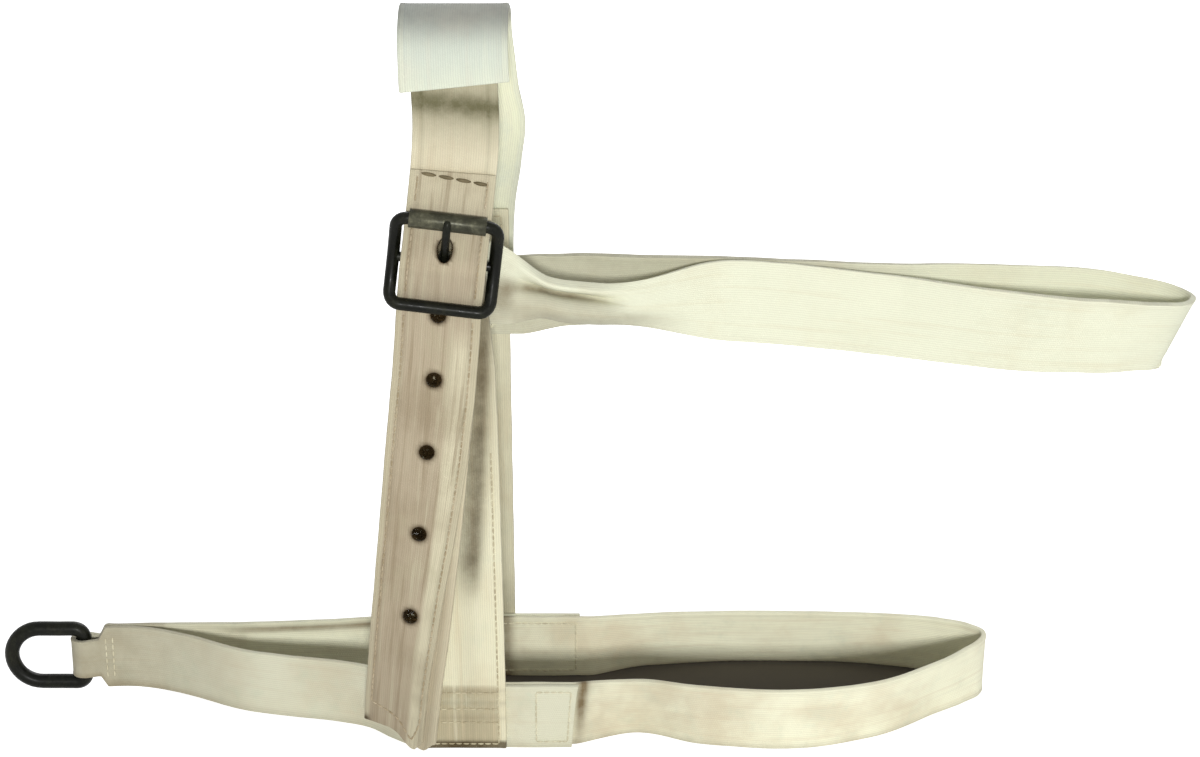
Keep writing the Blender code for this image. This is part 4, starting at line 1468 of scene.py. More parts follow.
def weave_path(side: float, over_bar: float, behind_end: float) -> list[Place]:
    """Points of a web between an end bar and the middle bar of the buckle.

    Args:
        side: 1 for the bar above, -1 for the one below.
        over_bar: Radius at which the web goes over the middle bar.
        behind_end: Radius at which it goes behind the end bar.

    Returns:
        How far each point stands proud, and its height in the buckle's frame.
    """
    end = (SIZES.bow, SIZES.pitch)
    lean = math.asin((over_bar + behind_end) / math.hypot(*end)) - math.atan2(*end)
    behind = arc(end, behind_end, math.pi, math.pi + lean, 3)
    over = arc((0.0, 0.0), over_bar, lean, 0.0, 3)
    line = [(behind[-1][0] + (over[0][0] - behind[-1][0]) * share,
             behind[-1][1] + (over[0][1] - behind[-1][1]) * share)
            for share in (0.12, 0.5, 0.88)]
    return [(proud, side * height) for proud, height in behind + line + over]


def buckle_point(aside: float, height: float, proud: float) -> Vector:
    """A place in the buckle's frame, in the halter: along its bar, up it, and out of it."""
    turn = Matrix.Rotation(SIZES.roll, 3, "Y")
    return SIZES.bar + SHIFT + turn @ Vector((aside, -proud, height))


@dataclass
class Crown:
    """The wide crown piece, up from the far temple and over the poll."""

    slant: float = 0.10

    def route(self, spacing: float = 1.5 * MM) -> Route:
        """Up the far side, over the poll and down to the slanting end.

        Args:
            spacing: Rough distance between samples.

        Returns:
            The web's middle line.
        """
        far = (SIZES.temple_far_y + (SIZES.cheek + SIZES.web) / 2.0 + SIZES.ply_gap) / MM
        rows = [(-64, far, 214), (-64, far, 232), (-63, far, 250), (-60, 19.6, 270),
                (-58, 18.6, 288), (-61, 17.2, 308), (-63, 12.8, 328), (-63.5, 4.6, 342.5),
                (-64, -9, 348.7), (-64, -21.5, 345.5), (-64, -29.8, 335),
                (-63.6, -33.2, 323), (-63.2, -34.4, 316)]
        return Route.through(stations(rows), lambda point: LEVEL, spacing)

    def far_run(self, point: Vector) -> float:
        """How much a place belongs to the far run."""
        return rise(point.y - SHIFT.y, -6.0 * MM, 4.0 * MM)

    def soil(self, point: Vector, place: float) -> float:
        """Grey painted shade over the poll, darker low on the far run, and a little soil at the
        selvedges.

        Args:
            point: Place in the halter.
            place: How far across the web.

        Returns:
            The share of soil.
        """
        height = (point.z - SHIFT.z) / MM
        edge = rise(abs(place) / SIZES.crown_width, 0.42, 0.5)
        temple = self.far_run(point) * fall(height, 250.0, 320.0)
        # The grey over the poll is painted shade on the crown's top.
        return 0.04 + 0.1 * edge + 0.5 * rise(height, 333.0, 347.0) + 0.26 * temple

    def tint(self, point: Vector, place: float) -> float:
        """Painted light: yellower and paler on the far run and toward the near end."""
        low = fall((point.z - SHIFT.z) / MM, 314.0, 334.0)
        return min(1.0, self.far_run(point) + 0.35 * low)

    def build(self) -> None:
        """Lay and sew the web."""
        strap = Strap("crown_piece_web", self.route(), SIZES.crown_width, SIZES.web, CROWN, 30,
                      self.soil, self.tint,
                      end_cut=lambda place: (place + SIZES.crown_width / 2.0) * self.slant)
        piece = strap.build()
        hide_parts("crown_strap")
        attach(piece, Body.HALTER.value)
        seams = box_rows(3.5 * MM, 31.0 * MM, STRAP_HALF - 4.0 * MM, crossed=True)
        thread = Stitching("crown_thread", strap, seams, PALE_THREAD, "crown_web")
        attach(thread.build(), Body.HALTER.value)


@dataclass
class Billet:
    """The doubled billet: a pale back ply and a tan face ply, sewn along both edges."""

    face_top: float = 281.0 * MM
    hole_radius: float = 3.5 * MM
    hole_stretch: float = 1.65
    hole_in_use: float = 6.6 * MM
    hole_heights: tuple = (216.4 * MM, 186.3 * MM, 151.8 * MM, 112.0 * MM, 71.0 * MM)
    tip_point: float = 12.7 * MM
    bend_above: float = 4.0 * MM
    bend_below: float = 9.0 * MM
    row_inset: float = 3.6 * MM
    clear_of_bar: float = 6.0 * MM

    def across(self, point: Vector) -> Vector:
        """Level under the crown, along the bar from there down.

        Args:
            point: Place on the middle line.

        Returns:
            The direction of the width there.
        """
        low = SIZES.bar.z + SIZES.pitch + SIZES.roller + SHIFT.z
        share = rise(point.z, low, SIZES.bar.z + 65.0 * MM + SHIFT.z)
        return ALONG_BAR.lerp(LEVEL, share).normalized()

    def route(self) -> Route:
        """Behind the top bar, over the middle bar, behind the bottom bar and down.

        Returns:
            The middle line of both plies.
        """
        behind_roller = SIZES.roller + SIZES.rock_gap + SIZES.billet / 2.0
        behind_rod = SIZES.rod + SIZES.rock_gap + SIZES.billet / 2.0
        crown = Crown().route(5.0 * MM)
        tail = Route(crown.samples[-5:], crown.across)
        under = tail.moved(-SIZES.lap_step / 2.0)
        places = [Station(sample.point) for sample in under.samples[:-1]]
        bar, crown_end = SIZES.bar.z / MM, (tail.samples[-1].point.z - SHIFT.z) / MM
        open_run = crown_end - bar - SIZES.pitch / MM
        places += stations([(-63, -33.9, crown_end - 0.29 * open_run),
                            (-64.3, -35.0, crown_end - 0.64 * open_run)])
        above = weave_path(1.0, SIZES.over_bar, behind_roller)
        below = weave_path(-1.0, SIZES.over_bar, behind_rod)[:-1]
        for proud, height in above + below[::-1]:
            places.append(Station(buckle_point(0.0, height, proud)))
        hang = (SIZES.near_foot_y - (SIZES.cheek + SIZES.billet) / 2.0
                - 2.0 * SIZES.ply_gap) / MM
        places += stations([(-74.0, -41.3, 190), (-77.8, -42.6, 155, 3), (-82, -43.9, 115, 9),
                            (-86.9, hang + 0.9, 72.5, 16), (-92, hang - 0.6, 30, 25),
                            (-94.5, hang - 1.3, 5.8, 28)])
        return Route.through(places, self.across)

    def tip(self, place: float) -> float:
        """How far the end falls short: square at the left, rounded to a point on the right."""
        return (7.0 * MM * fall(place, -6.0 * MM, self.tip_point)
                + 5.0 * MM * rise(place, self.tip_point, STRAP_HALF))

    def punches(self, route: Route) -> list[tuple[Vector, Matrix, float]]:
        """The punches of the hole in use and of the row below it.

        Args:
            route: The billet's middle line.

        Returns:
            Place, turn and stretch of each.
        """
        holes = [(buckle_point(0.0, self.hole_in_use, 0.0).z, self.hole_stretch)]
        holes += [(height + SHIFT.z, 1.0) for height in self.hole_heights]
        made = []
        for height, stretch in holes:
            point, tangent, width, normal = route.spot(route.at_height(height))
            turn = Matrix((width, tangent, normal)).transposed().to_4x4()
            made.append((point + ripple(point), turn, stretch))
        return made

    def soil_of(self, middle: Route) -> Look:
        """Painted shade round the holes, soil beside the stitching, a painted shadow below the
        crown's end, painted shade in the lower left corner, and darker toward the floor.

        Args:
            middle: The billet's middle line.

        Returns:
            What gives the share of soil at a place of either ply.
        """
        holes = [place for place, _, _ in self.punches(middle)]

        def soil(point: Vector, place: float) -> float:
            """Soil and painted shade at one place of the billet.

            Args:
                point: Place in the halter.
                place: How far across the web.

            Returns:
                The share of soil.
            """
            across, above_floor = place / MM, point.z / MM
            height = (point.z - SHIFT.z + 0.1 * place) / MM
            near = min((point - hole).length for hole in holes)
            # Painted shade in the pocket at the billet's lower left corner.
            corner = rise(-across, 14.5, 17.5) * fall(above_floor, 15.0, 19.0)
            row = bump(abs(across), 14.6, 1.0)
            # Painted shadow below the crown's end.
            painted_shadow_under_crown = 0.46 * rise(height, 286.0, 308.0) + 0.5 * bump(height, 310.5, 5.0)
            # Painted shade round the holes.
            return min(1.0, 0.04 + 0.75 * fall(near, 3.5 * MM, 5.8 * MM) + 0.16 * row
                       + 0.1 * fall(above_floor, 10.0, 120.0) + painted_shadow_under_crown + 0.9 * corner)
        return soil

    def face_tint(self, point: Vector, place: float) -> float:
        """As pale as the back ply at the top, tan below, with a paler band at the right.

        Args:
            point: Place in the halter.
            place: How far across the web.

        Returns:
            The share of the paler colour.
        """
        height, across = (point.z - SHIFT.z) / MM, place / MM
        high = rise(height, SIZES.bar.z / MM - 10.0, self.face_top / MM)
        band = rise(across, 5.5, 9.0) * (1.0 - 0.5 * rise(across, 14.5, 17.0))
        return min(1.0, 0.02 + 0.66 * high + 0.85 * band * fall(height, 195.0, 215.0))

    def back_tint(self, point: Vector, place: float) -> float:
        """The back ply is browner below the buckle."""
        return fall(point.z - SHIFT.z, SIZES.bar.z - 60.0 * MM, SIZES.bar.z)

    def drawn(self, point: Vector, place: float) -> tuple[float, float]:
        """The face ply's right edge draws in toward the tip, so that the back ply shows."""
        low = fall(point.z, 40.0 * MM, 170.0 * MM)
        return place - 0.3 * low * max(0.0, place), 0.0

    def ply(self, name: str, middle: Route, face: bool) -> Strap:
        """One ply of the billet: the face ply starts above the buckle, the back at the crown.

        Args:
            name: The piece's name.
            middle: The billet's middle line.
            face: Whether it is the face ply.

        Returns:
            The web, not yet built.
        """
        shift = (SIZES.ply + SIZES.ply_gap) / 2.0
        route = middle.moved(shift if face else -shift)
        if face:
            top = self.face_top + SHIFT.z
            samples = [sample for sample in route.samples if sample.point.z < top]
            route = Route(samples, route.across)
        return Strap(name, route, SIZES.strap_width, SIZES.ply, TAN if face else BEIGE, 26,
                     self.soil_of(middle), self.face_tint if face else self.back_tint,
                     crease=self.drawn if face else None, end_cut=self.tip,
                     cut_reach=60.0 * MM)

    def build(self) -> None:
        """Lay, punch and sew both plies."""
        middle = self.route()
        back = self.ply("billet_back_web", middle, False)
        face = self.ply("billet_face_web", middle, True)
        hinge = joint_place("billet_end_lift")
        start = hinge + UP * self.bend_above
        end = hinge - UP * self.bend_below
        for strap, nodes in ((back, ("billet_base_upper", "billet_base_end")),
                             (face, ("billet_face_upper", "billet_face_end"))):
            piece = strap.build()
            for place, turn, stretch in self.punches(middle):
                punch = primitive(bpy.ops.mesh.primitive_cylinder_add, vertices=28,
                                  radius=self.hole_radius, depth=5.0 * SIZES.billet)
                punch.data.transform(Matrix.Diagonal((1.0, stretch, 1.0, 1.0)))
                punch.matrix_world = Matrix.Translation(place) @ turn
                boolean(piece, punch, "DIFFERENCE")
            self.shade_hole_rims(piece, middle)
            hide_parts(*nodes)
            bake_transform(piece)
        self.sew(back, face, start, end)
        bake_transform(self.yarn_ends(middle))

    def shade_hole_rims(self, piece: bpy.types.Object, middle: Route) -> None:
        """Paint shade on the cut rims, which the punches leave without it.

        Args:
            piece: A punched ply.
            middle: The billet's middle line.
        """
        soil = piece.data.attributes["soil"].data
        for place, turn, stretch in self.punches(middle):
            back = turn.to_3x3().transposed()
            for vertex in piece.data.vertices:
                local = back @ (vertex.co - place)
                if (math.hypot(local.x, local.y / stretch) < self.hole_radius + 0.3 * MM
                        and abs(local.z) < 2.0 * SIZES.billet):
                    # Painted shade on the hole's wall.
                    soil[vertex.index].value = 0.95

    def yarn_ends(self, middle: Route) -> bpy.types.Object:
        """Short dark yarn ends round the holes' rims, which fill the holes with painted shade,
        kept clear of the prong.

        Args:
            middle: The billet's middle line.

        Returns:
            All the yarn ends as one piece.
        """
        chance = random.Random(7)
        yarns = Gathered()
        for number, (place, turn, stretch) in enumerate(self.punches(middle)):
            in_use = number == 0
            count = 170 if in_use else 220
            for index in range(count):
                angle = 2.0 * math.pi * (index + chance.uniform(-0.5, 0.5)) / count
                level = chance.uniform(-0.48, 0.48) * SIZES.billet
                longest = 3.5 * MM if level < 0.0 else 2.2 * MM
                if in_use:
                    longest = (1.3 - 1.0 * abs(math.sin(angle))) * MM
                reach = chance.uniform(0.4, 1.0) * longest
                if not in_use and index % 3 == 0:
                    level = chance.uniform(-0.5, -0.3) * SIZES.billet
                    reach = chance.uniform(0.8, 1.15) * self.hole_radius
                rim = Vector((math.cos(angle), math.sin(angle) * stretch, 0.0))
                aside = Vector((-rim.y, rim.x, 0.0)) * chance.uniform(-0.5, 0.5)
                lift = chance.uniform(-0.3, 0.3)
                path = []
                for share in (0.0, 0.35, 0.7, 1.0):
                    local = rim * (self.hole_radius * 1.03 - reach * share)
                    local += aside * reach * share ** 2
                    local.z = level + lift * reach * share ** 2
                    path.append(place + turn.to_3x3() @ local)
                yarns.add(*self.yarn(path, chance.uniform(0.14, 0.26) * MM))
        piece = yarns.piece("billet_hole_yarns")
        smooth(piece)
        dress(piece, HOLE_SHADE_YARN.material(), "tan_web")
        return piece

    @staticmethod
    def yarn(path: list[Vector], radius: float,
             sides: int = 5) -> tuple[list[Vector], list[Sequence[int]]]:
        """One tapered yarn end, closed at both ends.

        Args:
            path: Four points along it.
            radius: Half its thickness at the root.
            sides: How many it has.

        Returns:
            Its points and its faces.
        """
        points, faces = [], []
        for step, spot in enumerate(path):
            along = (path[min(step + 1, 3)] - path[max(step - 1, 0)]).normalized()
            side = along.orthogonal().normalized()
            other = along.cross(side)
            thin = radius * (1.0 - 0.22 * step)
            for turn in range(sides):
                angle = 2.0 * math.pi * turn / sides
                points.append(spot + (side * math.cos(angle) + other * math.sin(angle)) * thin)
        for ring in range(0, sides * (len(path) - 1), sides):
            for turn in range(sides):
                here, after = ring + turn, ring + (turn + 1) % sides
                faces.append((here, after, after + sides, here + sides))
        faces.append(range(sides - 1, -1, -1))
        faces.append(range(len(points) - sides, len(points)))
        return points, faces

    def sew(self, back: Strap, face: Strap, start: Vector, end: Vector) -> None:
        """The rows along both edges, and the dark row across the face ply's top.

        Args:
            back, face: Both plies.
            start, end: Not used.
        """
        inset, length = self.row_inset, face.route.length
        tip, half = length - 12.0 * MM, STRAP_HALF - self.row_inset
        seams = []
        run_start = 3.0 * MM
        for side in (1.0, -1.0):
            at_bar = face.route.nearest(buckle_point(0.0, side * SIZES.pitch, 0.0))
            seams += edge_rows(face, run_start, at_bar - self.clear_of_bar, inset)
            run_start = at_bar + self.clear_of_bar
        seams += edge_rows(face, run_start, tip, inset)
        seams.append(Seam([(tip, half), (length - 4.6 * MM, self.tip_point - 2.0 * MM),
                           (length - 8.0 * MM, 0.0), (tip, -half)]))
        top = Seam([(1.4 * MM, -half + MM), (4.4 * MM, half + MM)], pitch=7.6 * MM)
        back_start = back.route.at_height(self.face_top + SHIFT.z) + 3.0 * MM
        back_seams = edge_rows(back, back_start, back.route.length - 16.0 * MM, inset,
                               Face.INNER)
        for strap, name, these, finish, thick in (
                (face, "billet_face_thread", seams, TAN_THREAD, 0.42 * MM),
                (face, "billet_top_thread", [top], DARK_THREAD, 0.95 * MM),
                (back, "billet_back_thread", back_seams, PALE_THREAD, 0.42 * MM)):
            piece = Stitching(name, strap, these, finish, strap.finish.slot, thick).build()
            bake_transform(piece)


@dataclass
class Cheeks:
    """The near cheek, folded round the buckle's bar, and the far cheek."""

    tail: float = 24.0 * MM
    aside: float = 8.0 * MM
    droop: float = 1.2 * MM
    floor_gap: float = 0.6 * MM
    slot_play: float = 1.2 * MM
    row_inset: float = 3.6 * MM
    foot_top: float = 30.0 * MM
    rows_top: float = 150.0 * MM

    def across_near(self, point: Vector) -> Vector:
        """Along the bar at the buckle, level from below it."""
        share = rise(point.z - SHIFT.z, SIZES.bar.z - 80.0 * MM,
                     SIZES.bar.z - SIZES.pitch - 4.0 * MM)
        return LEVEL.lerp(ALONG_BAR, share).normalized()

    def near_route(self) -> Route:
        """Up from the noseband, round the buckle's bar, with its tail sewn behind.

        Returns:
            The near cheek's middle line, from the tail down to the foot.
        """
        under_billet = (SIZES.cheek + SIZES.billet) / 2.0 + SIZES.billet_gap
        behind_rod = SIZES.rod + SIZES.rock_gap + SIZES.billet / 2.0 + under_billet
        front = list(reversed(weave_path(-1.0, SIZES.chape, behind_rod)))
        seat = SIZES.bow - behind_rod
        pitch = SIZES.cheek + SIZES.ply_gap
        low = -(SIZES.pitch + self.tail)
        at_rod = self.aside * 0.3
        places = [Station(buckle_point(*place)) for place in (
            (self.aside, low, seat - pitch + self.droop), (at_rod, -SIZES.pitch, seat - pitch),
            (0.0, -SIZES.pitch * 0.15, -SIZES.chape))]
        for proud, height in arc((0.0, 0.0), SIZES.chape, math.pi, 0.0, 10)[:-1] + front:
            aside = at_rod * min(1.0, max(0.0, -height / SIZES.pitch)) ** 3
            places.append(Station(buckle_point(aside, height, proud)))
        places.append(Station(buckle_point(self.aside, low, seat + self.droop)))
        bottom, stack = SIZES.near_foot_y / MM, SIZES.nose_width / MM + 2.0
        places += stations([(-65.0, -38.9, 150), (-64.2, -40.4, 100),
                            (-63.4, bottom + 0.4, 56), (-63.2, bottom, stack + 4.0),
                            (-63.2, bottom, stack), (-63, bottom, self.floor_gap / MM)])
        return Route.through(places, self.across_near)

    def far_route(self) -> Route:
        """Up from the noseband to the lap under the crown piece.

        Returns:
            The far cheek's middle line.
        """
        low = (SIZES.nose_far_y + SIZES.lap_step + (SIZES.web + SIZES.cheek) / 2.0
               + SIZES.ply_gap) / MM
        high = SIZES.temple_far_y / MM
        rows = [(-61, low, self.floor_gap / MM), (-61, low, SIZES.nose_width / MM + 2.0),
                (-61, low - 4.5, 66), (-61, 26.5, 124), (-61, high + 1.6, 170),
                (-61, high, 186), (-61, high, 218), (-61, high, 248)]
        return Route.through(stations(rows), lambda point: LEVEL)

    def near_soil_and_shade(self, point: Vector, place: float) -> float:
        """A brown stripe beside the billet's edge, darker toward the buckle, rows at the sewn
        foot, and painted shade along the sole and behind the prong's slot.

        Args:
            point: Place in the halter.
            place: How far across the web.

        Returns:
            The share of soil.
        """
        height, above_floor = (point.z - SHIFT.z) / MM, point.z / MM
        aside = (point.x - SHIFT.x) / MM + 52.3 + 0.055 * (190.0 - height)
        rubbed = bump(aside, 0.0, 8.0 if aside < 0.0 else 3.4) * rise(height, 70.0, 97.0)
        # Painted shade on the web behind the prong's slot.
        slot = bump(place / MM, 0.0, 6.0) * bump(height, SIZES.bar.z / MM, 9.0)
        high = rise(height, 80.0, 190.0)
        rows = sum(bump(above_floor, row, 1.3) for row in (31.0, 24.5, 17.0))
        # Painted shade along the sole, where the web meets the floor.
        sole = fall(above_floor, 3.6, 6.0)
        middle = bump(place / MM, 2.0, 5.0) * (1.0 - high)
        return min(1.0, 0.03 + 0.7 * rubbed + 0.1 * high + 0.16 * rows + 0.95 * (sole + slot)
                   + 0.12 * middle)

    def near_tint(self, point: Vector, place: float) -> float:
        """Khaki at the foot, short of its right edge, and again beside the buckle."""
        foot = fall(point.z / MM, 32.0, 34.5) * rise(-place / MM, -17.0, -14.0)
        return max(foot, 0.45 * rise((point.z - SHIFT.z) / MM, 100.0, 190.0))

    def far_soil_and_shade(self, point: Vector, place: float) -> float:
        """Darker all over, partly soil and partly painted shade, and more at the foot."""
        return 0.24 + 0.25 * fall(point.z, 30.0 * MM, 60.0 * MM)

    def build(self) -> None:
        """Lay and sew both cheeks, and cut the near one's slot for the prong."""
        near = Strap("near_cheek_web", self.near_route(), SIZES.strap_width, SIZES.cheek,
                     LINEN, 26, self.near_soil_and_shade, self.near_tint)
        far = Strap("far_cheek_web", self.far_route(), SIZES.strap_width, SIZES.cheek,
                    LINEN, 26, self.far_soil_and_shade)
        piece = near.build()
        slot = primitive(bpy.ops.mesh.primitive_cube_add, size=1.0)
        reach = 3.0 * (SIZES.centre_bar + SIZES.ply_gap + SIZES.cheek)
        slot.data.transform(Matrix.Diagonal((SIZES.prong_eye_width + self.slot_play, reach,
                                             reach, 1.0)))
        slot.matrix_world = BUCKLE_PLACE
        boolean(piece, slot, "DIFFERENCE")
        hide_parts("near_cheek_strap")
        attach(piece, Body.HALTER.value)
        piece = far.build()
        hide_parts("far_cheek_strap")
        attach(piece, Body.HALTER.value)
        self.sew(near, far)

    def sew(self, near: Strap, far: Strap) -> None:
        """Edge rows on the near cheek, and the boxes that hold both feet and laps.

        Args:
            near, far: Both cheeks.
        """
        half = STRAP_HALF - self.row_inset
        foot = near.route.at_height(self.foot_top)
        rows_top = near.route.at_height(self.rows_top)
        near_seams = edge_rows(near, rows_top, foot, self.row_inset)
        near_seams += box_rows(foot, near.route.length - 2.6 * MM, half)
        for height in (21.5 * MM, 14.5 * MM):
            across = near.route.at_height(height)
            near_seams.append(Seam([(across, -half), (across, half)]))
        tail = near.route.at_height(205.0 * MM, last=False)
        near_seams += box_rows(max(tail - 10.0 * MM, 2.5 * MM), tail + 4.0 * MM, half,
                               Face.INNER)
        top = far.route.length
        far_seams = box_rows(2.6 * MM, far.route.at_height(self.foot_top), half)
        far_seams += box_rows(top - 31.0 * MM, top - 3.5 * MM, half, Face.INNER)
        thread = Stitching("near_cheek_thread", near, near_seams, CHEEK_THREAD, "linen_web")
        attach(thread.build(), Body.HALTER.value)
        thread = Stitching("far_cheek_thread", far, far_seams, CHEEK_THREAD, "linen_web")
        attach(thread.build(), Body.HALTER.value)


# The iron

class Rod:
    """A bent bar, drawn in edit mode: a round section that is pulled straight or turned."""

    def __init__(self, name: str, centre: Vector, along: Vector, radius: float,
                 sides: int = 20) -> None:
        """Draw the first section.

        Args:
            name: The piece's name.
            centre, along: Middle of the section and its direction.
            radius: Half the bar's thickness.
            sides: How many points the section has.
        """
        turn = along.to_track_quat("Z", "Y").to_euler()
        self.piece = primitive(bpy.ops.mesh.primitive_circle_add, name, vertices=sides,
                               radius=radius, location=centre, rotation=turn)
        settle(self.piece)
        bpy.ops.object.mode_set(mode="EDIT")
        bpy.ops.mesh.select_all(action="SELECT")

    def pull(self, by: Vector, steps: int = 1) -> None:
        """Pull the section straight."""
        for _ in range(steps):
            bpy.ops.mesh.extrude_region_move(TRANSFORM_OT_translate={"value": by / steps})

    def turn(self, centre: Vector, axis: Vector, angle: float, steps: int) -> None:
        """Turn the section about an axis."""
        bpy.ops.mesh.spin(steps=steps, angle=angle, center=centre, axis=axis)

    def taper(self, share: float) -> None:
        """Make the section smaller."""
        bpy.ops.transform.resize(value=(share, share, share))

    def finish(self, close: bool = False) -> bpy.types.Object:
        """Leave edit mode, with the bar's points merged and its faces outward.

        Args:
            close: Close its ends too.

        Returns:
            The bar.
        """
        bpy.ops.object.mode_set(mode="OBJECT")
        tidy_shell(self.piece, close)
        return self.piece


@dataclass
class LeadDee:
    """The dee: a straight bar, two legs and a round bow, bent from one rod."""

    depth: float = 35.7 * MM
    corner: float = 4.5 * MM
    lump_height: float = 0.12 * MM

    def build(self) -> None:
        """Bend the dee about the chin web's fold, with a casting's slight lumps."""
        half, corner = SIZES.dee_height / 2.0, self.corner
        bow = self.depth - half
        place = joint_place("dee_swing")
        rod = Rod("lead_dee_iron", place, UP, SIZES.dee_rod)
        rod.pull(UP * (half - corner), 3)
        rod.turn(place + Vector((-corner, 0.0, half - corner)), BACK, math.pi / 2.0, 7)
        rod.pull(LEVEL * -(bow - corner), 5)
        rod.turn(place + Vector((-bow, 0.0, 0.0)), BACK, math.pi, 20)
        rod.pull(LEVEL * (bow - corner), 5)
        rod.turn(place + Vector((-corner, 0.0, corner - half)), BACK, math.pi / 2.0, 7)
        rod.pull(UP * (half - corner), 3)
        piece = rod.finish()
        for vertex in piece.data.vertices:
            lumps = noise.noise(vertex.co * 160.0) * self.lump_height
            vertex.co += (vertex.co - place).normalized() * lumps
        smooth(piece)
        dress(piece, JAPAN.material(), "japanned_iron")
        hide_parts("lead_dee")
        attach(piece, Body.DEE.value)


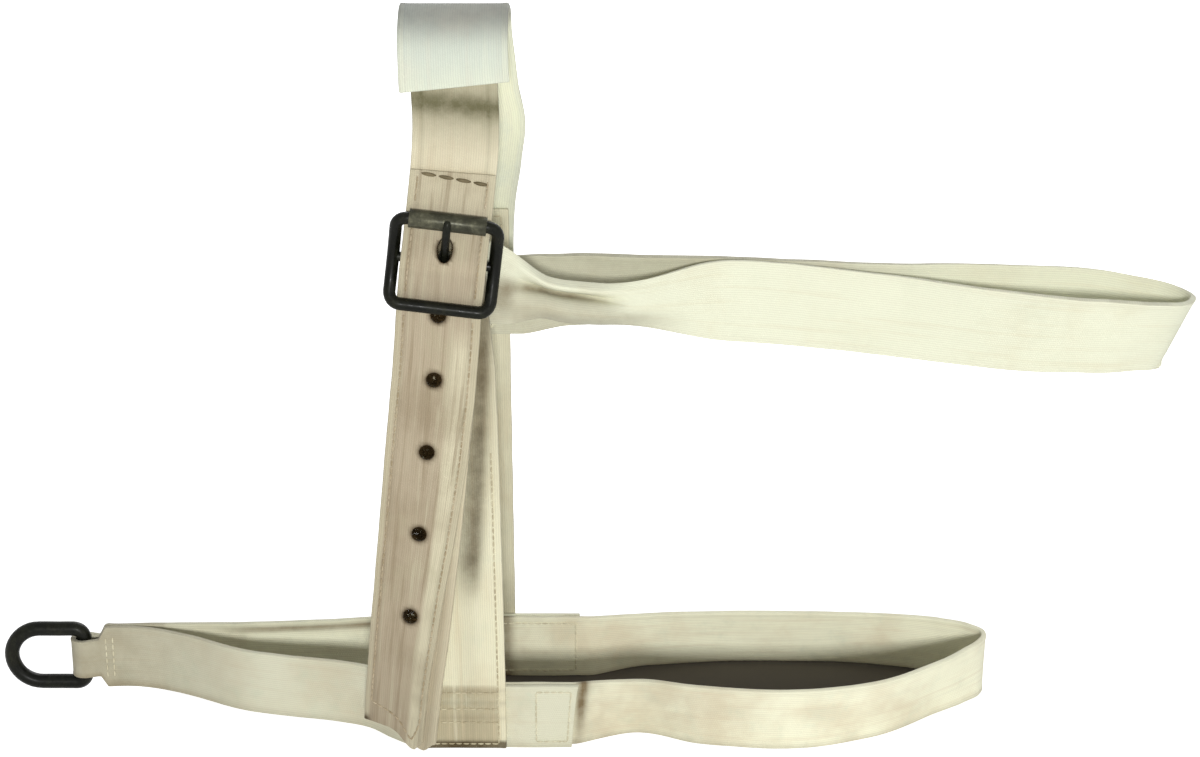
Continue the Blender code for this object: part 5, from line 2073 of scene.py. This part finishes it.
@dataclass
class RollerBuckle:
    """The bowed buckle with its middle bar, its roller and its prong."""

    half_width: float = 22.55 * MM
    corner: float = 5.0 * MM
    roller_bore: float = 3.15 * MM
    roller_end_gap: float = 0.45 * MM
    seam_depth: float = 1.2 * MM
    seam_width: float = 0.35 * MM
    prong_rod: float = 1.8 * MM
    prong_bore: float = 2.5 * MM
    eye_wall: float = 2.0 * MM
    prong_seat: float = 0.3 * MM
    root_angle: float = math.radians(30.0)
    hook_angle: float = math.radians(14.0)

    def build(self) -> None:
        """Make the three irons."""
        for piece, node, body, finish in (
                (self.frame(), "buckle_frame", Body.BUCKLE, JAPAN),
                (self.roller(), "buckle_roller", Body.ROLLER, WORN_IRON),
                (self.prong(), "buckle_prong", Body.PRONG, JAPAN)):
            dress(piece, finish.material(), "japanned_iron")
            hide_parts(node)
            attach(piece, body.value)

    def place(self, piece: bpy.types.Object, lift: float = 0.0, proud: float = 0.0) -> None:
        """Set a piece drawn at the origin into the buckle's frame, and bake its place."""
        piece.matrix_world = BUCKLE_PLACE @ Matrix.Translation((0.0, -proud, lift))
        settle(piece)

    def frame(self) -> bpy.types.Object:
        """The bowed rectangle, with the bar across its middle.

        Returns:
            The frame, in its place.
        """
        width, height, corner = self.half_width, SIZES.pitch, self.corner
        rod = Rod("buckle_frame_iron", Vector((width, 0.0, 0.0)), UP, SIZES.rod)
        legs = ((UP, height, 1, 1), (-LEVEL, width, -1, 1), (-UP, height, -1, -1),
                (LEVEL, width, 1, -1))
        for index, (along, half, side_x, side_z) in enumerate(legs):
            first = half - corner if index == 0 else 2.0 * (half - corner)
            rod.pull(along * first, 6 if index else 3)
            centre = Vector((side_x * (width - corner), 0.0, side_z * (height - corner)))
            rod.turn(centre, BACK, math.pi / 2.0, 6)
        rod.pull(UP * (height - corner), 3)
        piece = rod.finish()
        for vertex in piece.data.vertices:
            vertex.co.y -= SIZES.bow * (self.level(vertex.co) / height) ** 2
        bar = primitive(bpy.ops.mesh.primitive_cylinder_add, vertices=24,
                        radius=SIZES.centre_bar, depth=2.0 * width, rotation=ON_SIDE)
        boolean(piece, bar, "UNION")
        pick(piece)
        bpy.ops.object.shade_smooth_by_angle(angle=math.radians(40.0))
        self.place(piece)
        return piece

    def level(self, point: Vector) -> float:
        """Height of the rod's middle line beside a point of the rod.

        Args:
            point: The point, in the buckle's frame before it is bowed.

        Returns:
            The height, as a distance from the middle bar.
        """
        corner = self.corner
        side_x = abs(point.x) - (self.half_width - corner)
        side_z = abs(point.z) - (SIZES.pitch - corner)
        if side_z <= 0.0:
            return abs(point.z)
        if side_x <= 0.0:
            return SIZES.pitch
        return SIZES.pitch - corner + corner * side_z / math.hypot(side_x, side_z)

    def roller(self) -> bpy.types.Object:
        """A short tube of sheet iron, its edges rounded and its seam behind.

        Returns:
            The roller, in its place.
        """
        half = self.half_width - self.corner - self.roller_end_gap
        piece = primitive(bpy.ops.mesh.primitive_cylinder_add, "buckle_roller_iron",
                          vertices=40, radius=SIZES.roller, depth=2.0 * half,
                          end_fill_type="NOTHING", rotation=ON_SIDE)
        wall = piece.modifiers.new("wall", "SOLIDIFY")
        wall.thickness = SIZES.roller - self.roller_bore
        wall.offset = -1.0
        apply_modifiers(piece)
        settle(piece)
        seam = primitive(bpy.ops.mesh.primitive_cube_add, size=1.0)
        seam.data.transform(Matrix.Diagonal((3.0 * half, self.seam_depth, self.seam_width,
                                             1.0)))
        seam.data.transform(Matrix.Translation(BACK * SIZES.roller))
        boolean(piece, seam, "DIFFERENCE")
        tidy_shell(piece)
        round_edges(piece, 0.25 * MM, 40.0)
        self.place(piece, SIZES.pitch, SIZES.bow)
        return piece

    def prong(self) -> bpy.types.Object:
        """An eye round the middle bar and a tapered shank that lies on the roller.

        Returns:
            The prong, in its place.
        """
        middle = self.prong_bore + self.eye_wall / 2.0
        root = (middle * math.cos(self.root_angle), middle * math.sin(self.root_angle))
        rest = SIZES.roller + self.prong_rod + self.prong_seat
        toward = (SIZES.bow - root[0], SIZES.pitch - root[1])
        lean = math.asin(rest / math.hypot(*toward)) + math.atan2(*toward)
        first = arc((SIZES.bow, SIZES.pitch), rest, -lean, 0.0, 1)[0]
        start = Vector((0.0, -root[0], root[1]))
        end = Vector((0.0, -first[0], first[1]))
        rod = Rod("buckle_prong_iron", start, (end - start).normalized(), self.prong_rod, 18)
        rod.pull(end - start, 4)
        steps = 5
        for _ in range(steps):
            rod.turn(Vector((0.0, -SIZES.bow, SIZES.pitch)), LEVEL,
                     (lean + self.hook_angle) / steps, 1)
            rod.taper(0.965)
        hook = Vector((0.0, math.sin(self.hook_angle), math.cos(self.hook_angle)))
        for share in (0.86, 0.62):
            rod.pull(hook * 0.45 * MM)
            rod.taper(share)
        piece = rod.finish(close=True)
        for radius, depth, operation in (
                (self.prong_bore + self.eye_wall, SIZES.prong_eye_width, "UNION"),
                (self.prong_bore, 3.0 * SIZES.prong_eye_width, "DIFFERENCE")):
            drum = primitive(bpy.ops.mesh.primitive_cylinder_add, vertices=32, radius=radius,
                             depth=depth, rotation=ON_SIDE)
            boolean(piece, drum, operation)
        tidy_shell(piece)
        round_edges(piece, 0.3 * MM, 50.0)
        self.place(piece)
        return piece


# The studio

@dataclass(frozen=True)
class Lamp:
    """A square lamp turned toward the halter: its place, its side and its power in watts."""

    name: str
    place: tuple[float, float, float]
    side: float
    power: float


@dataclass
class Studio:
    """White floor, soft light from the front and above, and the photograph's camera."""

    down: float = math.atan2(0.3546, 0.935)
    distance: float = 1.2
    height: float = 0.62
    sensor: float = 36.0
    focal_pixels: float = 2759.0
    shift_pixels: float = 12.0
    picture_pixels: float = 1200.0
    floor_white: float = 0.8
    world_level: float = 0.22
    aim: float = 0.14
    floor_colour: tuple = (0.86, 0.86, 0.86, 1.0)
    # Colour of the painted shade laid on the floor inside the loops.
    painted_shade_colour: tuple = (0.125, 0.112, 0.096, 1.0)
    lamps: tuple = (Lamp("key", (0.16, -3.9, 1.12), 0.45, 108.0),
                    Lamp("fill", (1.5, -1.4, 0.60), 1.0, 4.5),
                    Lamp("back", (0.3, 1.9, 1.4), 1.6, 30.0))

    def camera(self) -> None:
        """Set up the camera."""
        data = bpy.data.cameras.new("photograph")
        data.lens = self.focal_pixels * self.sensor / self.picture_pixels
        data.sensor_width = self.sensor
        data.shift_y = self.shift_pixels / self.picture_pixels
        camera = bpy.data.objects.new("photograph", data)
        camera.location = SHIFT + Vector((0.0, -self.distance, self.height))
        camera.rotation_euler = (math.pi / 2.0 - self.down, 0.0, 0.0)
        bpy.context.scene.collection.objects.link(camera)
        bpy.context.scene.camera = camera

    def light(self, lamp: Lamp) -> None:
        """Hang one lamp.

        Args:
            lamp: The lamp.
        """
        data = bpy.data.lights.new(lamp.name, "AREA")
        data.shape = "SQUARE"
        data.size = lamp.side
        data.energy = lamp.power
        hung = bpy.data.objects.new(lamp.name, data)
        hung.location = lamp.place
        toward = UP * self.aim - Vector(lamp.place)
        hung.rotation_euler = toward.to_track_quat("-Z", "Y").to_euler()
        bpy.context.scene.collection.objects.link(hung)

    def seen(self, nodes: Nodes) -> bpy.types.NodeSocket:
        """1 for what the camera sees, also in reflections and through glass.

        Args:
            nodes: The helper of a tree.

        Returns:
            The mask.
        """
        path = nodes.add("LightPath").outputs
        seen = nodes.math("MAXIMUM", path["Is Camera Ray"], path["Is Glossy Ray"])
        return nodes.math("MAXIMUM", seen, path["Is Transmission Ray"])

    def world(self) -> None:
        """A white surround for the camera and a low even light for the rest."""
        world = bpy.data.worlds.new("studio")
        bpy.context.scene.world = world
        world.use_nodes = True
        tree = world.node_tree
        nodes = Nodes(tree)
        white = (1.0, 1.0, 1.0, 1.0)
        low = nodes.fill(tree.nodes["Background"], {"Color": white,
                                                    "Strength": self.world_level})
        full = nodes.add("Background", {"Color": white, "Strength": 1.0})
        mix = nodes.add("MixShader", {0: self.seen(nodes), 1: low.outputs[0],
                                      2: full.outputs[0]})
        nodes.feed(mix.outputs[0], tree.nodes["World Output"].inputs["Surface"])

    def stand(self, piece: bpy.types.Object, colour: tuple, glow: float) -> None:
        """Give a part of the floor its look.

        Args:
            piece: The part.
            colour: Its colour.
            glow: How much white the camera sees on it.
        """
        made = bpy.data.materials.new(piece.name)
        made.use_nodes = True
        nodes = Nodes(made.node_tree)
        shader = nodes.fill(made.node_tree.nodes["Principled BSDF"], {
            "Roughness": 0.9, "Specular IOR Level": 0.1, "Base Color": colour})
        if glow:
            white = nodes.mix(self.seen(nodes), (0.0, 0.0, 0.0, 1.0), (1.0, 1.0, 1.0, 1.0))
            nodes.fill(shader, {"Emission Color": white, "Emission Strength": glow})
        piece.data.materials.append(made)

    def floor(self) -> None:
        """A wide white floor that keeps the halter's shadow, and a dark sheet of painted shade
        in the loops.
        """
        plane = primitive(bpy.ops.mesh.primitive_plane_add, "studio_floor", size=12.0)
        self.stand(plane, self.floor_colour, self.floor_white)
        # The dark sheet inside the loops is painted shade: it has no glow for the camera.
        outline = Noseband().footprint()
        inside = Gathered()
        inside.add(outline, [range(len(outline))])
        self.stand(inside.piece("studio_floor_painted_shade"), self.painted_shade_colour, 0.0)

    def build(self) -> None:
        """Set the whole studio."""
        bpy.context.scene.view_settings.view_transform = "Standard"
        self.camera()
        self.world()
        self.floor()
        for lamp in self.lamps:
            self.light(lamp)
        log.info("studio set")


def main() -> None:
    """Build the halter's pieces and the studio."""
    logging.basicConfig(level=logging.INFO, format="%(name)s: %(message)s")
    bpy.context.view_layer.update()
    Studio().build()
    for part in (Crown(), Billet(), Cheeks(), Noseband(), Browband(), LeadDee(),
                 RollerBuckle()):
        log.info("building %s", type(part).__name__)
        part.build()
    deselect()


if __name__ == "__main__":
    main()
